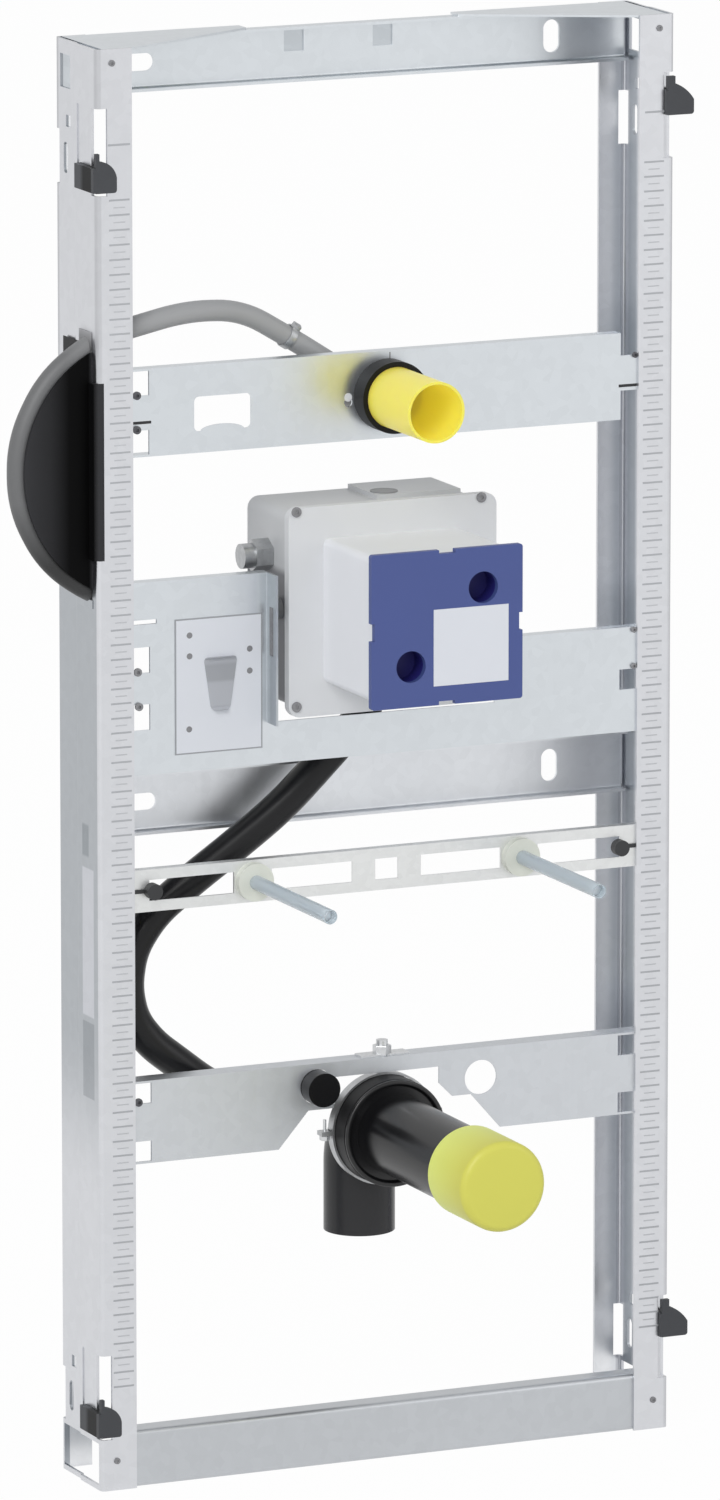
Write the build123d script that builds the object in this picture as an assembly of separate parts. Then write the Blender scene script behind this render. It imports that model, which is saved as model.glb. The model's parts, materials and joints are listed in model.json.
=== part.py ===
# Urinal installation frame: a folded sheet-steel wall frame that carries a flush control box,
# a flush pipe sleeve, two fixing rods and a drain elbow with its front pipe.
# Millimetres. +Z is up, -Y is the side where the urinal hangs, +Y is the wall side.
# The origin is on the underside of the bottom rail, at its middle.
import os
from math import cos, radians, sin, sqrt, tan

from build123d import *

# Frame
HEIGHT = 983.0
WIDTH = 425.0
DEPTH = 72.0
SHEET = 2.0
BEND = 2.5
SEAT_GAP = 0.3
CUT_PAST = 1.0

# Posts
FRONT_FLANGE = 26.0
BACK_FLANGE = 23.0
WEB_STEP = 1.4
WEB_STEP_AT = 36.0
WEB_STEP_RUN = 3.0
FOOT_STRIP = 3.5
FOOT_CUT = 29.0
FOOT_MARGIN = 4.5
CLIP_WINDOW_WIDTH = 8.0
CLIP_WINDOW_HEIGHT = 58.5
CLIP_WINDOW_LOW = 35.5
CLIP_WINDOW_DROP = 98.0
REAR_WINDOW_WIDTH = 7.0
REAR_WINDOW_HEIGHT = 37.0
WEB_SLOT_WIDTH = 7.5
WEB_SLOT_LENGTH = 21.0
WEB_SLOT_AT = 54.5
WEB_SLOT_RISE = 8.5
WEB_SQUARE = 8.0
WEB_SQUARE_AT = 50.0
WEB_SQUARE_RISE = 40.0
WEB_DOOR_WIDTH = 17.5
WEB_DOOR_HEIGHT = 22.5
WEB_DOOR_AT = 55.0
WEB_DOOR_DROP = 21.0
WEB_PRESSING = 0.7
WEB_PRESSING_WIDTH = 22.0
WEB_PRESSING_MARGIN = 5.0

# Rails
TOP_RAIL_HEIGHT = 38.0
BACK_RAIL_HEIGHT = 43.0
BACK_RAIL_GAP = 11.5
RAIL_TOP_LIP = 12.0
RAIL_LOW_LIP = 8.0
RAIL_SLOT_LENGTH = 22.5
RAIL_SLOT_WIDTH = 12.0
RAIL_SLOT_AT = 152.5
RAIL_DIMPLE = 14.5
RAIL_DIMPLE_DEPTH = 1.0
RAIL_DIMPLE_SPACING = 65.5
RAIL_DIMPLE_SHIFT = 6.0
RAIL_DIMPLE_DROP = 3.5
BASE_RAIL_HEIGHT = 39.5
BASE_FLANGE = 16.0
GUSSET = 1.5
GUSSET_REACH = 129.0
GUSSET_NOSE = 12.0

# Cross plates
PLATE = 1.5
PLATE_LAP = 12.0
PLATE_LIP = 9.5
NOTCH_WIDTH = 12.5
NOTCH_HEIGHT = 14.0
FLUSH_CLEAR = 41.0
FLUSH_PLATE_HEIGHT = 59.5
FLUSH_WINDOW_X = -120.5
FLUSH_WINDOW_WIDTH = 41.5
FLUSH_WINDOW_HEIGHT = 23.5
FLUSH_WINDOW_CORNER = 3.5
FLUSH_WINDOW_DROP = 3.5
FLUSH_PIN_HOLE_X = -28.5
FLUSH_PIN_HOLE = 6.0
FLUSH_TAB_HALF = 15.5
FLUSH_TAB_RISE = 4.0
FLUSH_SLIT_DROP = 5.5
FLUSH_SLIT_HEIGHT = 2.0
FLUSH_SLIT_DEPTH = 14.0
FLUSH_NOTCH_HEIGHT = 16.5
FLUSH_UPPER_CORNER = 15.5
FLUSH_LOWER_CORNER = 20.0
VALVE_PLATE_LOW = 491.5
VALVE_PLATE_LEFT = 131.0
VALVE_PLATE_RIGHT = 72.5
VALVE_PLATE_STRIP = 28.5
VALVE_SIDE_GAP = 10.3
VALVE_SIDE_LIP = 15.5
VALVE_LIP_SLOT_WIDTH = 4.5
VALVE_LIP_SLOT_LENGTH = 31.0
VALVE_LIP_SLOT_DROP = 25.0
VALVE_NOTCH_HEIGHT = 17.5
VALVE_LOW_NOTCH = 30.5
VALVE_HIGH_NOTCH = 69.5
VALVE_RIGHT_NOTCH = 29.5
VALVE_SLIT_RISE = 102.5
VALVE_SLIT_HEIGHT = 3.0
VALVE_SLIT_DEPTH = 17.5

# Control box
BOX_WIDTH = 153.5
BOX_HEIGHT = 143.0
LID = 7.0
LID_FRONT = 8.0
BOX_INSET = 4.5
BOX_BACK = 70.5
BOX_CORNER = 8.0
BOX_WALL = 2.5
BOX_GAP = 3.5
HATCH_LEFT = 1.0
HATCH_RIGHT = 63.0
HATCH_FRONT = 20.0
HATCH_BACK = 68.0
HATCH_RISE = 3.5
NECK_WIDTH = 102.5
NECK_HEIGHT = 99.0
NECK_WALL = 2.5
NECK_CORNER = 5.0
COVER_WIDTH = 111.0
COVER_HEIGHT = 105.0
COVER_DEPTH = 4.5
COVER_CORNER = 2.0
COVER_FRONT = 95.0
COVER_HOLE = 21.5
COVER_HOLE_X = 26.5
COVER_HOLE_Z = 25.0
COVER_NOTCH_LENGTH = 12.0
COVER_NOTCH_DEPTH = 2.5
FITTING_OUTER = 22.5
FITTING_PIPE = 17.0
FITTING_REACH = 20.5
FITTING_NUT = 12.5
FITTING_RISE = 33.0

# Mounting bar and rods
ROD_HEIGHT = 412.0
BAR_HEIGHT = 29.0
BAR_LIP = 7.0
BAR_SLOT_HEIGHT = 14.5
BAR_SLOT_OFFSET = 14.0
BAR_INNER_SLOT = 59.5
BAR_OUTER_SLOT = 62.0
BAR_WINDOW = 17.0
ROD_SPACING = 198.0
ROD = 8.0
ROD_TUBE = 10.0
ROD_TIP = 125.0
ROD_SETBACK = 7.0
ROD_TAIL = 19.0
ROD_WASHER = 26.0
ROD_WASHER_THICK = 6.0
ROD_NUT = 13.0
ROD_NUT_THICK = 6.5
KNOB = 11.0
KNOB_DEPTH = 7.0
KNOB_SETBACK = 13.0
KNOB_TAIL = 1.3

# Flush sleeve
SLEEVE_OUTER = 41.5
SLEEVE_WALL = 1.8
SLEEVE_FRONT = 77.5
SLEEVE_TAIL = 8.5
SEAL_OUTER = 49.0
SEAL_DEPTH = 15.5
BEND_BODY = 38.0
BEND_BODY_DEPTH = 31.0
BEND_STUB = 18.0
BEND_STUB_REACH = 31.0
BEND_STUB_ANGLE = 33.0

# Drain
DRAIN_HEIGHT = 231.0
DRAIN_OUTER = 49.0
DRAIN_WALL = 3.0
DRAIN_DROP = 79.0
DRAIN_BACK = 47.0
DRAIN_BEND_MARGIN = 2.0
COLLAR_OUTER = 74.5
COLLAR_FRONT = 10.5
COLLAR_DEPTH = 24.0
CLAMP_BAND = 1.5
CLAMP_WIDTH = 8.0
CLAMP_SETBACK = 1.0
CLAMP_EAR = 8.0
PIPE_OUTER = 54.5
PIPE_WALL = 3.0
PIPE_FRONT = 177.0
CAP_OUTER = 62.0
CAP_WALL = 2.5
CAP_DEPTH = 54.5
CAP_FRONT = 187.0
BRACKET_HEIGHT = 57.0
BRACKET_BRIDGE = 10.5
BRACKET_CLEAR = 0.8
BRACKET_SIDE_CLEAR = 2.0
BRACKET_LIP = 15.5
BRACKET_ARM = 25.0
BRACKET_LEFT_FLAT = 19.0
BRACKET_RIGHT_FLAT = 24.0
BRACKET_SLOPE = 22.0
BRACKET_CHAMFER = 10.0
BRACKET_HOLE = 24.0
BRACKET_HOLE_X = 70.5
BRACKET_HOLE_RISE = 29.5
HANGER_WIDTH = 36.0
HANGER_DEPTH = 10.5
HANGER_BOLT = 8.0
HANGER_RISE = 10.5

# Hoses
FLUSH_HOSE = 14.5
CONDUIT = 23.0
HOSE_MIDWAY_Y = 14.0
ARC_SHARE = 0.45
GUIDE_STEP = 28.0
OUTLET_X = -52.0
OUTLET_RISE = 34.5
OUTLET = 23.5
OUTLET_FRONT = 11.0
OUTLET_TAIL = 7.0

# Hose guide outside the left post
GUIDE_INSET = 41.0
GUIDE_DROP = 37.75
GUIDE_CHEEK = 90.0
GUIDE_HOSE = 91.0
GUIDE_WALL = 2.5
GUIDE_SETBACK = 8.0
GUIDE_DEPTH = 28.0
GUIDE_SLOT_DEPTH = 28.0
GUIDE_SLOT_MARGIN = 11.5
GUIDE_CORNER = 5.0
GUIDE_BEAD_HALF = 60.0

# Profile clips
CLIP_HEIGHT = 26.5
CLIP_SHOULDER = 21.5
CLIP_SILL = 2.5
CLIP_RISE = 27.0
CLIP_LEFT_FIN = 15.0
CLIP_LEFT_NECK = 2.5
CLIP_LEFT_BULGE = 3.0
CLIP_RIGHT_FIN = 19.5
CLIP_RIGHT_NECK = 5.5
CLIP_RIGHT_BULGE = 1.5
CLIP_FIN_THICK = 3.5
CLIP_FIN_STRAIGHT = 10.0
CLIP_CORNER = 2.0
CLIP_LEFT_OVERHANG = 1.5
CLIP_RIGHT_BITE = 6.5
CLIP_TONGUE_HEIGHT = 17.0
CLIP_TONGUE_DEPTH = 29.0
CLIP_TONGUE_OUT = 3.5

# Places that several pieces share
FRONT = -(SHEET + BASE_FLANGE / 2)
BACK = FRONT + DEPTH
HALF = WIDTH / 2
PLATE_FACE = FRONT + SHEET
PLATE_REAR = PLATE_FACE + PLATE
FLANGE_EDGE = HALF - FRONT_FLANGE
PLATE_END = FLANGE_EDGE + PLATE_LAP
BACK_SEAT = BACK - SHEET
WEB_INSIDE = HALF - 2 * SHEET - WEB_STEP
GUSSET_SEAT = HEIGHT - GUSSET
TOP_RAIL_LOW = GUSSET_SEAT - TOP_RAIL_HEIGHT
BACK_RAIL_LOW = VALVE_PLATE_LOW - BACK_RAIL_GAP - BACK_RAIL_HEIGHT
CLIP_WINDOW_HIGH = HEIGHT - CLIP_WINDOW_DROP
BOX_FACE = FRONT - LID_FRONT
BOX_REAR = FRONT + BOX_BACK
BOX_MIDDLE = VALVE_PLATE_LOW + VALVE_PLATE_STRIP + BOX_GAP + BOX_HEIGHT / 2
BOX_LEFT = -BOX_WIDTH / 2 + BOX_INSET
BOX_UNDERSIDE = BOX_MIDDLE - BOX_HEIGHT / 2 + BOX_INSET
COVER_FACE = FRONT - COVER_FRONT
FLUSH_HEIGHT = BOX_MIDDLE + BOX_HEIGHT / 2 + FLUSH_CLEAR + FLUSH_PLATE_HEIGHT / 2
BAR_LOW = ROD_HEIGHT - BAR_HEIGHT / 2
INNER_SLOT_X = ROD_SPACING / 2 - BAR_SLOT_OFFSET - BAR_INNER_SLOT / 2
OUTER_SLOT_X = ROD_SPACING / 2 + BAR_SLOT_OFFSET + BAR_OUTER_SLOT / 2
CLAMP_OUTER = COLLAR_OUTER / 2 + SEAT_GAP + CLAMP_BAND
COLLAR_REAR = FRONT - COLLAR_FRONT + COLLAR_DEPTH
CLAMP_START = COLLAR_REAR - CLAMP_WIDTH - CLAMP_SETBACK
NOTCH_TOP = DRAIN_HEIGHT + CLAMP_OUTER + BRACKET_CLEAR
BRACKET_TOP = NOTCH_TOP + BRACKET_BRIDGE
BRACKET_LOW = BRACKET_TOP - BRACKET_HEIGHT
BRACKET_HOLE_Z = DRAIN_HEIGHT + BRACKET_HOLE_RISE
OUTLET_Z = DRAIN_HEIGHT + OUTLET_RISE
HANGER_Y = PLATE_FACE + BRACKET_LIP / 2
STUB_SIDE = -cos(radians(BEND_STUB_ANGLE))
STUB_UP = sin(radians(BEND_STUB_ANGLE))
STUB_Y = PLATE_REAR + SLEEVE_TAIL + BEND_BODY_DEPTH / 2
GUIDE_X = -HALF + GUIDE_INSET
GUIDE_Z = FLUSH_HEIGHT - GUIDE_DROP
GUIDE_FACE = FRONT + GUIDE_SETBACK
GUIDE_HOSE_Y = GUIDE_FACE + GUIDE_WALL + SEAT_GAP + FLUSH_HOSE / 2
GUIDE_DRUM = GUIDE_HOSE - FLUSH_HOSE / 2 - SEAT_GAP
GUIDE_CROSSING = sqrt(GUIDE_HOSE**2 - (HALF + GUIDE_X) ** 2)


def save(node, solid):
    solid.label = node
    export_step(solid, f"parts/{node}.step")


def block(x_range, y_range, z_range):
    """A box between two limits on each axis, given in either order."""
    ranges = [sorted(limits) for limits in (x_range, y_range, z_range)]
    sizes = [high - low for low, high in ranges]
    middle = [(high + low) / 2 for low, high in ranges]
    return Pos(*middle) * Box(*sizes)


def on_wall(face, y_front, thickness):
    """Extrudes a flat shape drawn in X and Z backwards from y_front."""
    return extrude(Plane.XZ.offset(-y_front) * face, amount=-thickness)


def outline(*points):
    return make_face(Polyline(*points, close=True))


def rod_along_y(x, z, y_range, radius):
    low, high = y_range
    return Pos(x, (low + high) / 2, z) * Rot(X=90) * Cylinder(radius, high - low)


def ring_along_y(x, z, y_range, outer, inner):
    return rod_along_y(x, z, y_range, outer / 2) - rod_along_y(x, z, y_range, inner / 2)


def hole_in_plate(x, z, diameter):
    """A cutter for a round hole through the sheet of a cross plate."""
    return rod_along_y(x, z, (PLATE_FACE - CUT_PAST, PLATE_REAR + CUT_PAST), diameter / 2)


def notch_in_plate(x_range, z_range):
    """A cutter for a square notch or window through the sheet of a cross plate."""
    return block(x_range, (PLATE_FACE - CUT_PAST, PLATE_REAR + CUT_PAST), z_range)


def mirrored(solid):
    return solid.mirror(Plane.YZ)


def route(points):
    """Straight runs joined by tangent arcs, each as large as its two runs allow."""
    spots = [Vector(*point) for point in points]
    radii = []
    for before, corner, after in zip(spots, spots[1:], spots[2:]):
        shorter = min((corner - before).length, (after - corner).length)
        turn = (corner - before).get_angle(after - corner)
        radii.append(ARC_SHARE * shorter / tan(radians(turn / 2)))
    print("  bend radii", [round(radius) for radius in radii])
    return FilletPolyline(*spots, radius=radii)


def hose(points, diameter):
    path = route(points)
    section = Plane(origin=path @ 0, z_dir=path % 0) * Circle(diameter / 2)
    tube = sweep(section, path=path)
    print("  length", round(path.length), "volume share", round(tube.volume / (section.area * path.length), 3))
    return tube


os.makedirs("parts", exist_ok=True)


# Posts


def post(clip_rise):
    """A left-hand post: a U channel, open to the inside, with a step along its web."""
    half_sheet = SHEET / 2
    web = -HALF + half_sheet
    step_y = FRONT + WEB_STEP_AT
    centre_line = FilletPolyline(
        (-FLANGE_EDGE, FRONT + half_sheet),
        (web, FRONT + half_sheet),
        (web, step_y),
        (web + WEB_STEP, step_y + WEB_STEP_RUN),
        (web + WEB_STEP, BACK - half_sheet),
        (-HALF + BACK_FLANGE, BACK - half_sheet),
        radius=[BEND, SHEET, SHEET, BEND],
    )
    channel = extrude(trace(centre_line, line_width=SHEET), amount=HEIGHT)
    for low in (CLIP_WINDOW_LOW, CLIP_WINDOW_HIGH):
        channel -= clip_window(low, clip_rise)
        channel -= rear_window(low)
        channel -= web_slot(low + WEB_SLOT_RISE)
        channel -= web_square(low + WEB_SQUARE_RISE)
        channel -= web_pressing(low)
    door_low = HEIGHT - WEB_DOOR_DROP - WEB_DOOR_HEIGHT / 2
    channel -= web_cut(WEB_DOOR_AT, WEB_DOOR_WIDTH, (door_low, door_low + WEB_DOOR_HEIGHT))
    foot = (FOOT_STRIP, FOOT_STRIP + FOOT_CUT)
    channel -= web_cut(DEPTH / 2, DEPTH - 2 * FOOT_MARGIN, foot)
    return channel


def web_cut(middle, width, z_range):
    """A cutter for a square window in the web, placed by its distance from the front."""
    sides = (FRONT + middle - width / 2, FRONT + middle + width / 2)
    return block((-HALF - CUT_PAST, -HALF + WEB_STEP + SHEET + CUT_PAST), sides, z_range)


def clip_window(low, clip_rise):
    """The front corner slot that a profile clip hooks into, and its mouth in the web."""
    corner = block(
        (-HALF - CUT_PAST, -HALF + CLIP_WINDOW_WIDTH),
        (FRONT - CUT_PAST, FRONT + CLIP_WINDOW_WIDTH),
        (low, low + CLIP_WINDOW_HEIGHT),
    )
    mouth_low = low + CLIP_SILL + clip_rise
    mouth = web_cut(CLIP_TONGUE_DEPTH / 2, CLIP_TONGUE_DEPTH, (mouth_low, mouth_low + CLIP_TONGUE_HEIGHT))
    return corner + mouth


def rear_window(low):
    """The slot in the rear corner of the post, level with a clip window."""
    return block(
        (-HALF - CUT_PAST, -HALF + WEB_STEP + REAR_WINDOW_WIDTH),
        (BACK - REAR_WINDOW_WIDTH, BACK + CUT_PAST),
        (low, low + REAR_WINDOW_HEIGHT),
    )


def web_slot(low):
    """The upright oblong slot in the rear half of the web."""
    slot = SlotOverall(WEB_SLOT_LENGTH, WEB_SLOT_WIDTH, rotation=90)
    middle = (-HALF - CUT_PAST, FRONT + WEB_SLOT_AT, low + WEB_SLOT_LENGTH / 2)
    place = Plane(origin=middle, x_dir=(0, 1, 0), z_dir=(1, 0, 0))
    return extrude(place * slot, amount=WEB_STEP + SHEET + 2 * CUT_PAST)


def web_square(low):
    return web_cut(WEB_SQUARE_AT, WEB_SQUARE, (low, low + WEB_SQUARE))


def web_pressing(low):
    """The shallow pressed panel round a clip window, in the front half of the web."""
    start = FRONT + CLIP_WINDOW_WIDTH + SHEET
    return block(
        (-HALF - CUT_PAST, -HALF + WEB_PRESSING),
        (start, start + WEB_PRESSING_WIDTH),
        (low + WEB_PRESSING_MARGIN, low + CLIP_WINDOW_HEIGHT),
    )


def guide_opening():
    """The tall slot in the left web for the flush hose, and the corner window of its guide."""
    reach = GUIDE_CROSSING + GUIDE_SLOT_MARGIN
    start = GUIDE_SETBACK + GUIDE_WALL / 2
    width = GUIDE_SLOT_DEPTH - start
    slot = web_cut(start + width / 2, width, (GUIDE_Z - reach, GUIDE_Z + reach))
    corner = block(
        (-HALF - CUT_PAST, -HALF + GUIDE_CORNER),
        (FRONT - CUT_PAST, FRONT + GUIDE_SLOT_DEPTH),
        (GUIDE_Z - GUIDE_BEAD_HALF, GUIDE_Z + GUIDE_BEAD_HALF),
    )
    return slot + corner


save("left_post", post(0.0) - guide_opening())
save("right_post", mirrored(post(CLIP_RISE)))


# Rails


def channel_rail(low, height, seat, top_lip, low_lip):
    """A rail with a flat web against the rear flanges and two lips folded forwards."""
    half_sheet = SHEET / 2
    y = seat - half_sheet
    folds = FilletPolyline(
        (y - top_lip, low + height - half_sheet),
        (y, low + height - half_sheet),
        (y, low + half_sheet),
        (y - low_lip, low + half_sheet),
        radius=BEND,
    )
    profile = Plane.YZ.offset(-WEB_INSIDE) * trace(folds, line_width=SHEET)
    return extrude(profile, amount=2 * WEB_INSIDE)


def rail_slot(x, z, upright):
    """A cutter for an oblong hole through the web of a back rail."""
    shape = SlotOverall(RAIL_SLOT_LENGTH, RAIL_SLOT_WIDTH, rotation=90 if upright else 0)
    return on_wall(Pos(x, z) * shape, BACK_SEAT - SHEET - CUT_PAST, SHEET + 2 * CUT_PAST)


def slotted_rail(low, height):
    rail = channel_rail(low, height, BACK_SEAT, RAIL_TOP_LIP, RAIL_LOW_LIP)
    middle = low + height / 2
    rail -= rail_slot(RAIL_SLOT_AT, middle, upright=True)
    rail -= rail_slot(-RAIL_SLOT_AT, middle, upright=False)
    return rail


def rail_dimple(x, z_top):
    """A cutter for a square pressing near the top of the rail's front face."""
    y_face = BACK_SEAT - SHEET
    depth = (y_face - CUT_PAST, y_face + RAIL_DIMPLE_DEPTH)
    return block((x - RAIL_DIMPLE / 2, x + RAIL_DIMPLE / 2), depth, (z_top - RAIL_DIMPLE, z_top))


def top_rail():
    rail = slotted_rail(TOP_RAIL_LOW, TOP_RAIL_HEIGHT)
    dimple_top = TOP_RAIL_LOW + TOP_RAIL_HEIGHT - RAIL_DIMPLE_DROP
    for side in (-1, 1):
        rail -= rail_dimple(side * RAIL_DIMPLE_SPACING / 2 - RAIL_DIMPLE_SHIFT, dimple_top)
    return rail


def base_rail():
    """The bottom rail: a C channel behind the front flanges, its lower flange flat on the ground."""
    half_sheet = SHEET / 2
    y = PLATE_FACE + half_sheet
    folds = FilletPolyline(
        (y + BASE_FLANGE - half_sheet, BASE_RAIL_HEIGHT - half_sheet),
        (y, BASE_RAIL_HEIGHT - half_sheet),
        (y, half_sheet),
        (y + BASE_FLANGE - half_sheet, half_sheet),
        radius=BEND,
    )
    profile = Plane.YZ.offset(-PLATE_END) * trace(folds, line_width=SHEET)
    return extrude(profile, amount=2 * PLATE_END)


def gusset():
    """A triangular plate over the top left corner, on the post and on the top rail's lip."""
    reach = -WEB_INSIDE + GUSSET_REACH
    shape = outline(
        (-WEB_INSIDE, PLATE_FACE + SEAT_GAP),
        (-FLANGE_EDGE, PLATE_FACE + SEAT_GAP),
        (reach, BACK_SEAT - GUSSET_NOSE),
        (reach, BACK_SEAT),
        (-WEB_INSIDE, BACK_SEAT),
    )
    return extrude(Pos(0, 0, GUSSET_SEAT) * shape, amount=GUSSET)


save("top_rail", top_rail())
save("back_rail", slotted_rail(BACK_RAIL_LOW, BACK_RAIL_HEIGHT))
save("bottom_rail", base_rail())
save("top_left_gusset", gusset())
save("top_right_gusset", mirrored(gusset()))


# Cross plates


def lip(x_range, z_edge, depth, upwards):
    """A flange folded back from the top or bottom edge of a cross plate."""
    z_range = (z_edge - PLATE, z_edge) if upwards else (z_edge, z_edge + PLATE)
    return block(x_range, (PLATE_FACE, PLATE_FACE + depth), z_range)


def end_notch(side, z, height):
    """A cutter for one notch in the end of a plate, as deep as the flange lap and a little more."""
    ends = (side * (PLATE_END + CUT_PAST), side * (FLANGE_EDGE - NOTCH_WIDTH))
    return notch_in_plate(ends, (z, z + height))


def open_corner(z_range):
    """A cutter for a corner at the right end of a plate, taken away with its lip."""
    ends = (PLATE_END + CUT_PAST, FLANGE_EDGE - NOTCH_WIDTH)
    return block(ends, (PLATE_FACE - CUT_PAST, PLATE_FACE + PLATE_LIP + CUT_PAST), z_range)


def plain_plate(low, height, depth):
    width = (-PLATE_END, PLATE_END)
    plate = block(width, (PLATE_FACE, PLATE_REAR), (low, low + height))
    plate += lip(width, low + height, depth, True)
    plate += lip(width, low, depth, False)
    return plate


def with_tongues(plate, low, height):
    """Cuts the four corner notches that leave one tongue at each end of a plate."""
    for side in (-1, 1):
        plate -= end_notch(side, low + PLATE, NOTCH_HEIGHT)
        plate -= end_notch(side, low + height - PLATE - NOTCH_HEIGHT, NOTCH_HEIGHT)
    return plate


def flush_plate():
    low = FLUSH_HEIGHT - FLUSH_PLATE_HEIGHT / 2
    high = low + FLUSH_PLATE_HEIGHT
    plate = plain_plate(low, FLUSH_PLATE_HEIGHT, PLATE_LIP)
    plate -= end_notch(-1, low + PLATE, FLUSH_NOTCH_HEIGHT)
    plate -= end_notch(-1, high - PLATE - FLUSH_NOTCH_HEIGHT, FLUSH_NOTCH_HEIGHT)
    plate -= open_corner((low - CUT_PAST, low + FLUSH_LOWER_CORNER))
    plate -= open_corner((high - FLUSH_UPPER_CORNER, high + CUT_PAST))
    window_z = FLUSH_HEIGHT - FLUSH_WINDOW_DROP
    window = RectangleRounded(FLUSH_WINDOW_WIDTH, FLUSH_WINDOW_HEIGHT, FLUSH_WINDOW_CORNER)
    window -= Pos(0, -FLUSH_WINDOW_HEIGHT / 2) * Ellipse(FLUSH_TAB_HALF, FLUSH_TAB_RISE)
    plate -= on_wall(Pos(FLUSH_WINDOW_X, window_z) * window, PLATE_FACE - CUT_PAST, PLATE + 2 * CUT_PAST)
    plate -= hole_in_plate(FLUSH_PIN_HOLE_X, window_z, FLUSH_PIN_HOLE)
    plate -= hole_in_plate(0, FLUSH_HEIGHT, SLEEVE_OUTER + 2 * SEAT_GAP)
    slit_high = FLUSH_HEIGHT - FLUSH_SLIT_DROP
    for side in (-1, 1):
        slit_ends = (side * (PLATE_END + CUT_PAST), side * (FLANGE_EDGE - FLUSH_SLIT_DEPTH))
        plate -= notch_in_plate(slit_ends, (slit_high - FLUSH_SLIT_HEIGHT, slit_high))
    return plate


def valve_plate():
    """The plate round the control box: tall on the left, a strip below, lower on the right."""
    low = VALVE_PLATE_LOW
    right_edge = BOX_WIDTH / 2 + BOX_GAP
    left_edge = -BOX_WIDTH / 2 - VALVE_SIDE_GAP
    left_top = low + VALVE_PLATE_LEFT
    right_top = low + VALVE_PLATE_RIGHT
    strip_top = low + VALVE_PLATE_STRIP
    shape = outline(
        (-PLATE_END, low),
        (PLATE_END, low),
        (PLATE_END, right_top),
        (right_edge, right_top),
        (right_edge, strip_top),
        (left_edge, strip_top),
        (left_edge, left_top),
        (-PLATE_END, left_top),
    )
    plate = on_wall(shape, PLATE_FACE, PLATE)
    plate += lip((-PLATE_END, PLATE_END), low, PLATE_LIP, False)
    plate += lip((-PLATE_END, left_edge), left_top, PLATE_LIP, True)
    plate += lip((right_edge, PLATE_END), right_top, PLATE_LIP, True)
    plate += valve_side_lip(left_edge, strip_top, left_top)
    plate -= end_notch(-1, low + VALVE_LOW_NOTCH, VALVE_NOTCH_HEIGHT)
    plate -= end_notch(-1, low + VALVE_HIGH_NOTCH, VALVE_NOTCH_HEIGHT)
    plate -= end_notch(1, low + VALVE_RIGHT_NOTCH, NOTCH_HEIGHT)
    slit_low = low + VALVE_SLIT_RISE
    slit_ends = (-PLATE_END - CUT_PAST, -FLANGE_EDGE + VALVE_SLIT_DEPTH)
    plate -= notch_in_plate(slit_ends, (slit_low, slit_low + VALVE_SLIT_HEIGHT))
    return plate


def valve_side_lip(edge, low, high):
    """The lip folded forwards beside the box, with an upright slot."""
    side_lip = block((edge - PLATE, edge), (PLATE_FACE - VALVE_SIDE_LIP, PLATE_REAR), (low, high))
    slot_y = PLATE_FACE - VALVE_SIDE_LIP / 2
    slot_high = high - VALVE_LIP_SLOT_DROP
    return side_lip - block(
        (edge - PLATE - CUT_PAST, edge + CUT_PAST),
        (slot_y - VALVE_LIP_SLOT_WIDTH / 2, slot_y + VALVE_LIP_SLOT_WIDTH / 2),
        (slot_high - VALVE_LIP_SLOT_LENGTH, slot_high),
    )


def bar_slot(x, length):
    """A cutter for a square-cornered slot in the mounting bar."""
    z_range = (ROD_HEIGHT - BAR_SLOT_HEIGHT / 2, ROD_HEIGHT + BAR_SLOT_HEIGHT / 2)
    return notch_in_plate((x - length / 2, x + length / 2), z_range)


def mounting_bar():
    bar = plain_plate(BAR_LOW, BAR_HEIGHT, BAR_LIP)
    for side in (-1, 1):
        bar -= bar_slot(side * INNER_SLOT_X, BAR_INNER_SLOT)
        bar -= bar_slot(side * OUTER_SLOT_X, BAR_OUTER_SLOT)
        bar -= hole_in_plate(side * ROD_SPACING / 2, ROD_HEIGHT, ROD + 2 * SEAT_GAP)
    return bar - bar_slot(0, BAR_WINDOW)


def drain_bracket():
    """The plate over the elbow: full height at its ends, a thin bridge across the collar."""
    left = -COLLAR_OUTER / 2 - BRACKET_SIDE_CLEAR
    right = COLLAR_OUTER / 2 + BRACKET_SIDE_CLEAR
    arm = BRACKET_LOW + BRACKET_ARM
    shape = outline(
        (-PLATE_END, BRACKET_LOW),
        (left - BRACKET_LEFT_FLAT - BRACKET_SLOPE, BRACKET_LOW),
        (left - BRACKET_LEFT_FLAT, arm),
        (left, arm),
        (left, NOTCH_TOP),
        (right, NOTCH_TOP),
        (right, arm + BRACKET_CHAMFER),
        (right + BRACKET_CHAMFER, arm),
        (right + BRACKET_RIGHT_FLAT, arm),
        (right + BRACKET_RIGHT_FLAT + BRACKET_SLOPE, BRACKET_LOW),
        (PLATE_END, BRACKET_LOW),
        (PLATE_END, BRACKET_TOP),
        (-PLATE_END, BRACKET_TOP),
    )
    plate = on_wall(shape, PLATE_FACE, PLATE)
    plate += lip((-PLATE_END, PLATE_END), BRACKET_TOP, BRACKET_LIP, True)
    plate = with_tongues(plate, BRACKET_LOW, BRACKET_HEIGHT)
    plate -= hole_in_plate(BRACKET_HOLE_X, BRACKET_HOLE_Z, BRACKET_HOLE)
    plate -= hole_in_plate(OUTLET_X, OUTLET_Z, OUTLET + 2 * SEAT_GAP)
    bolt_hole = Cylinder(HANGER_BOLT / 2 + SEAT_GAP, 2 * PLATE + 2 * CUT_PAST)
    return plate - Pos(0, HANGER_Y, BRACKET_TOP) * bolt_hole


save("flush_plate", flush_plate())
save("valve_plate", valve_plate())
save("mounting_bar", mounting_bar())
save("drain_bracket", drain_bracket())


# Control box


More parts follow.
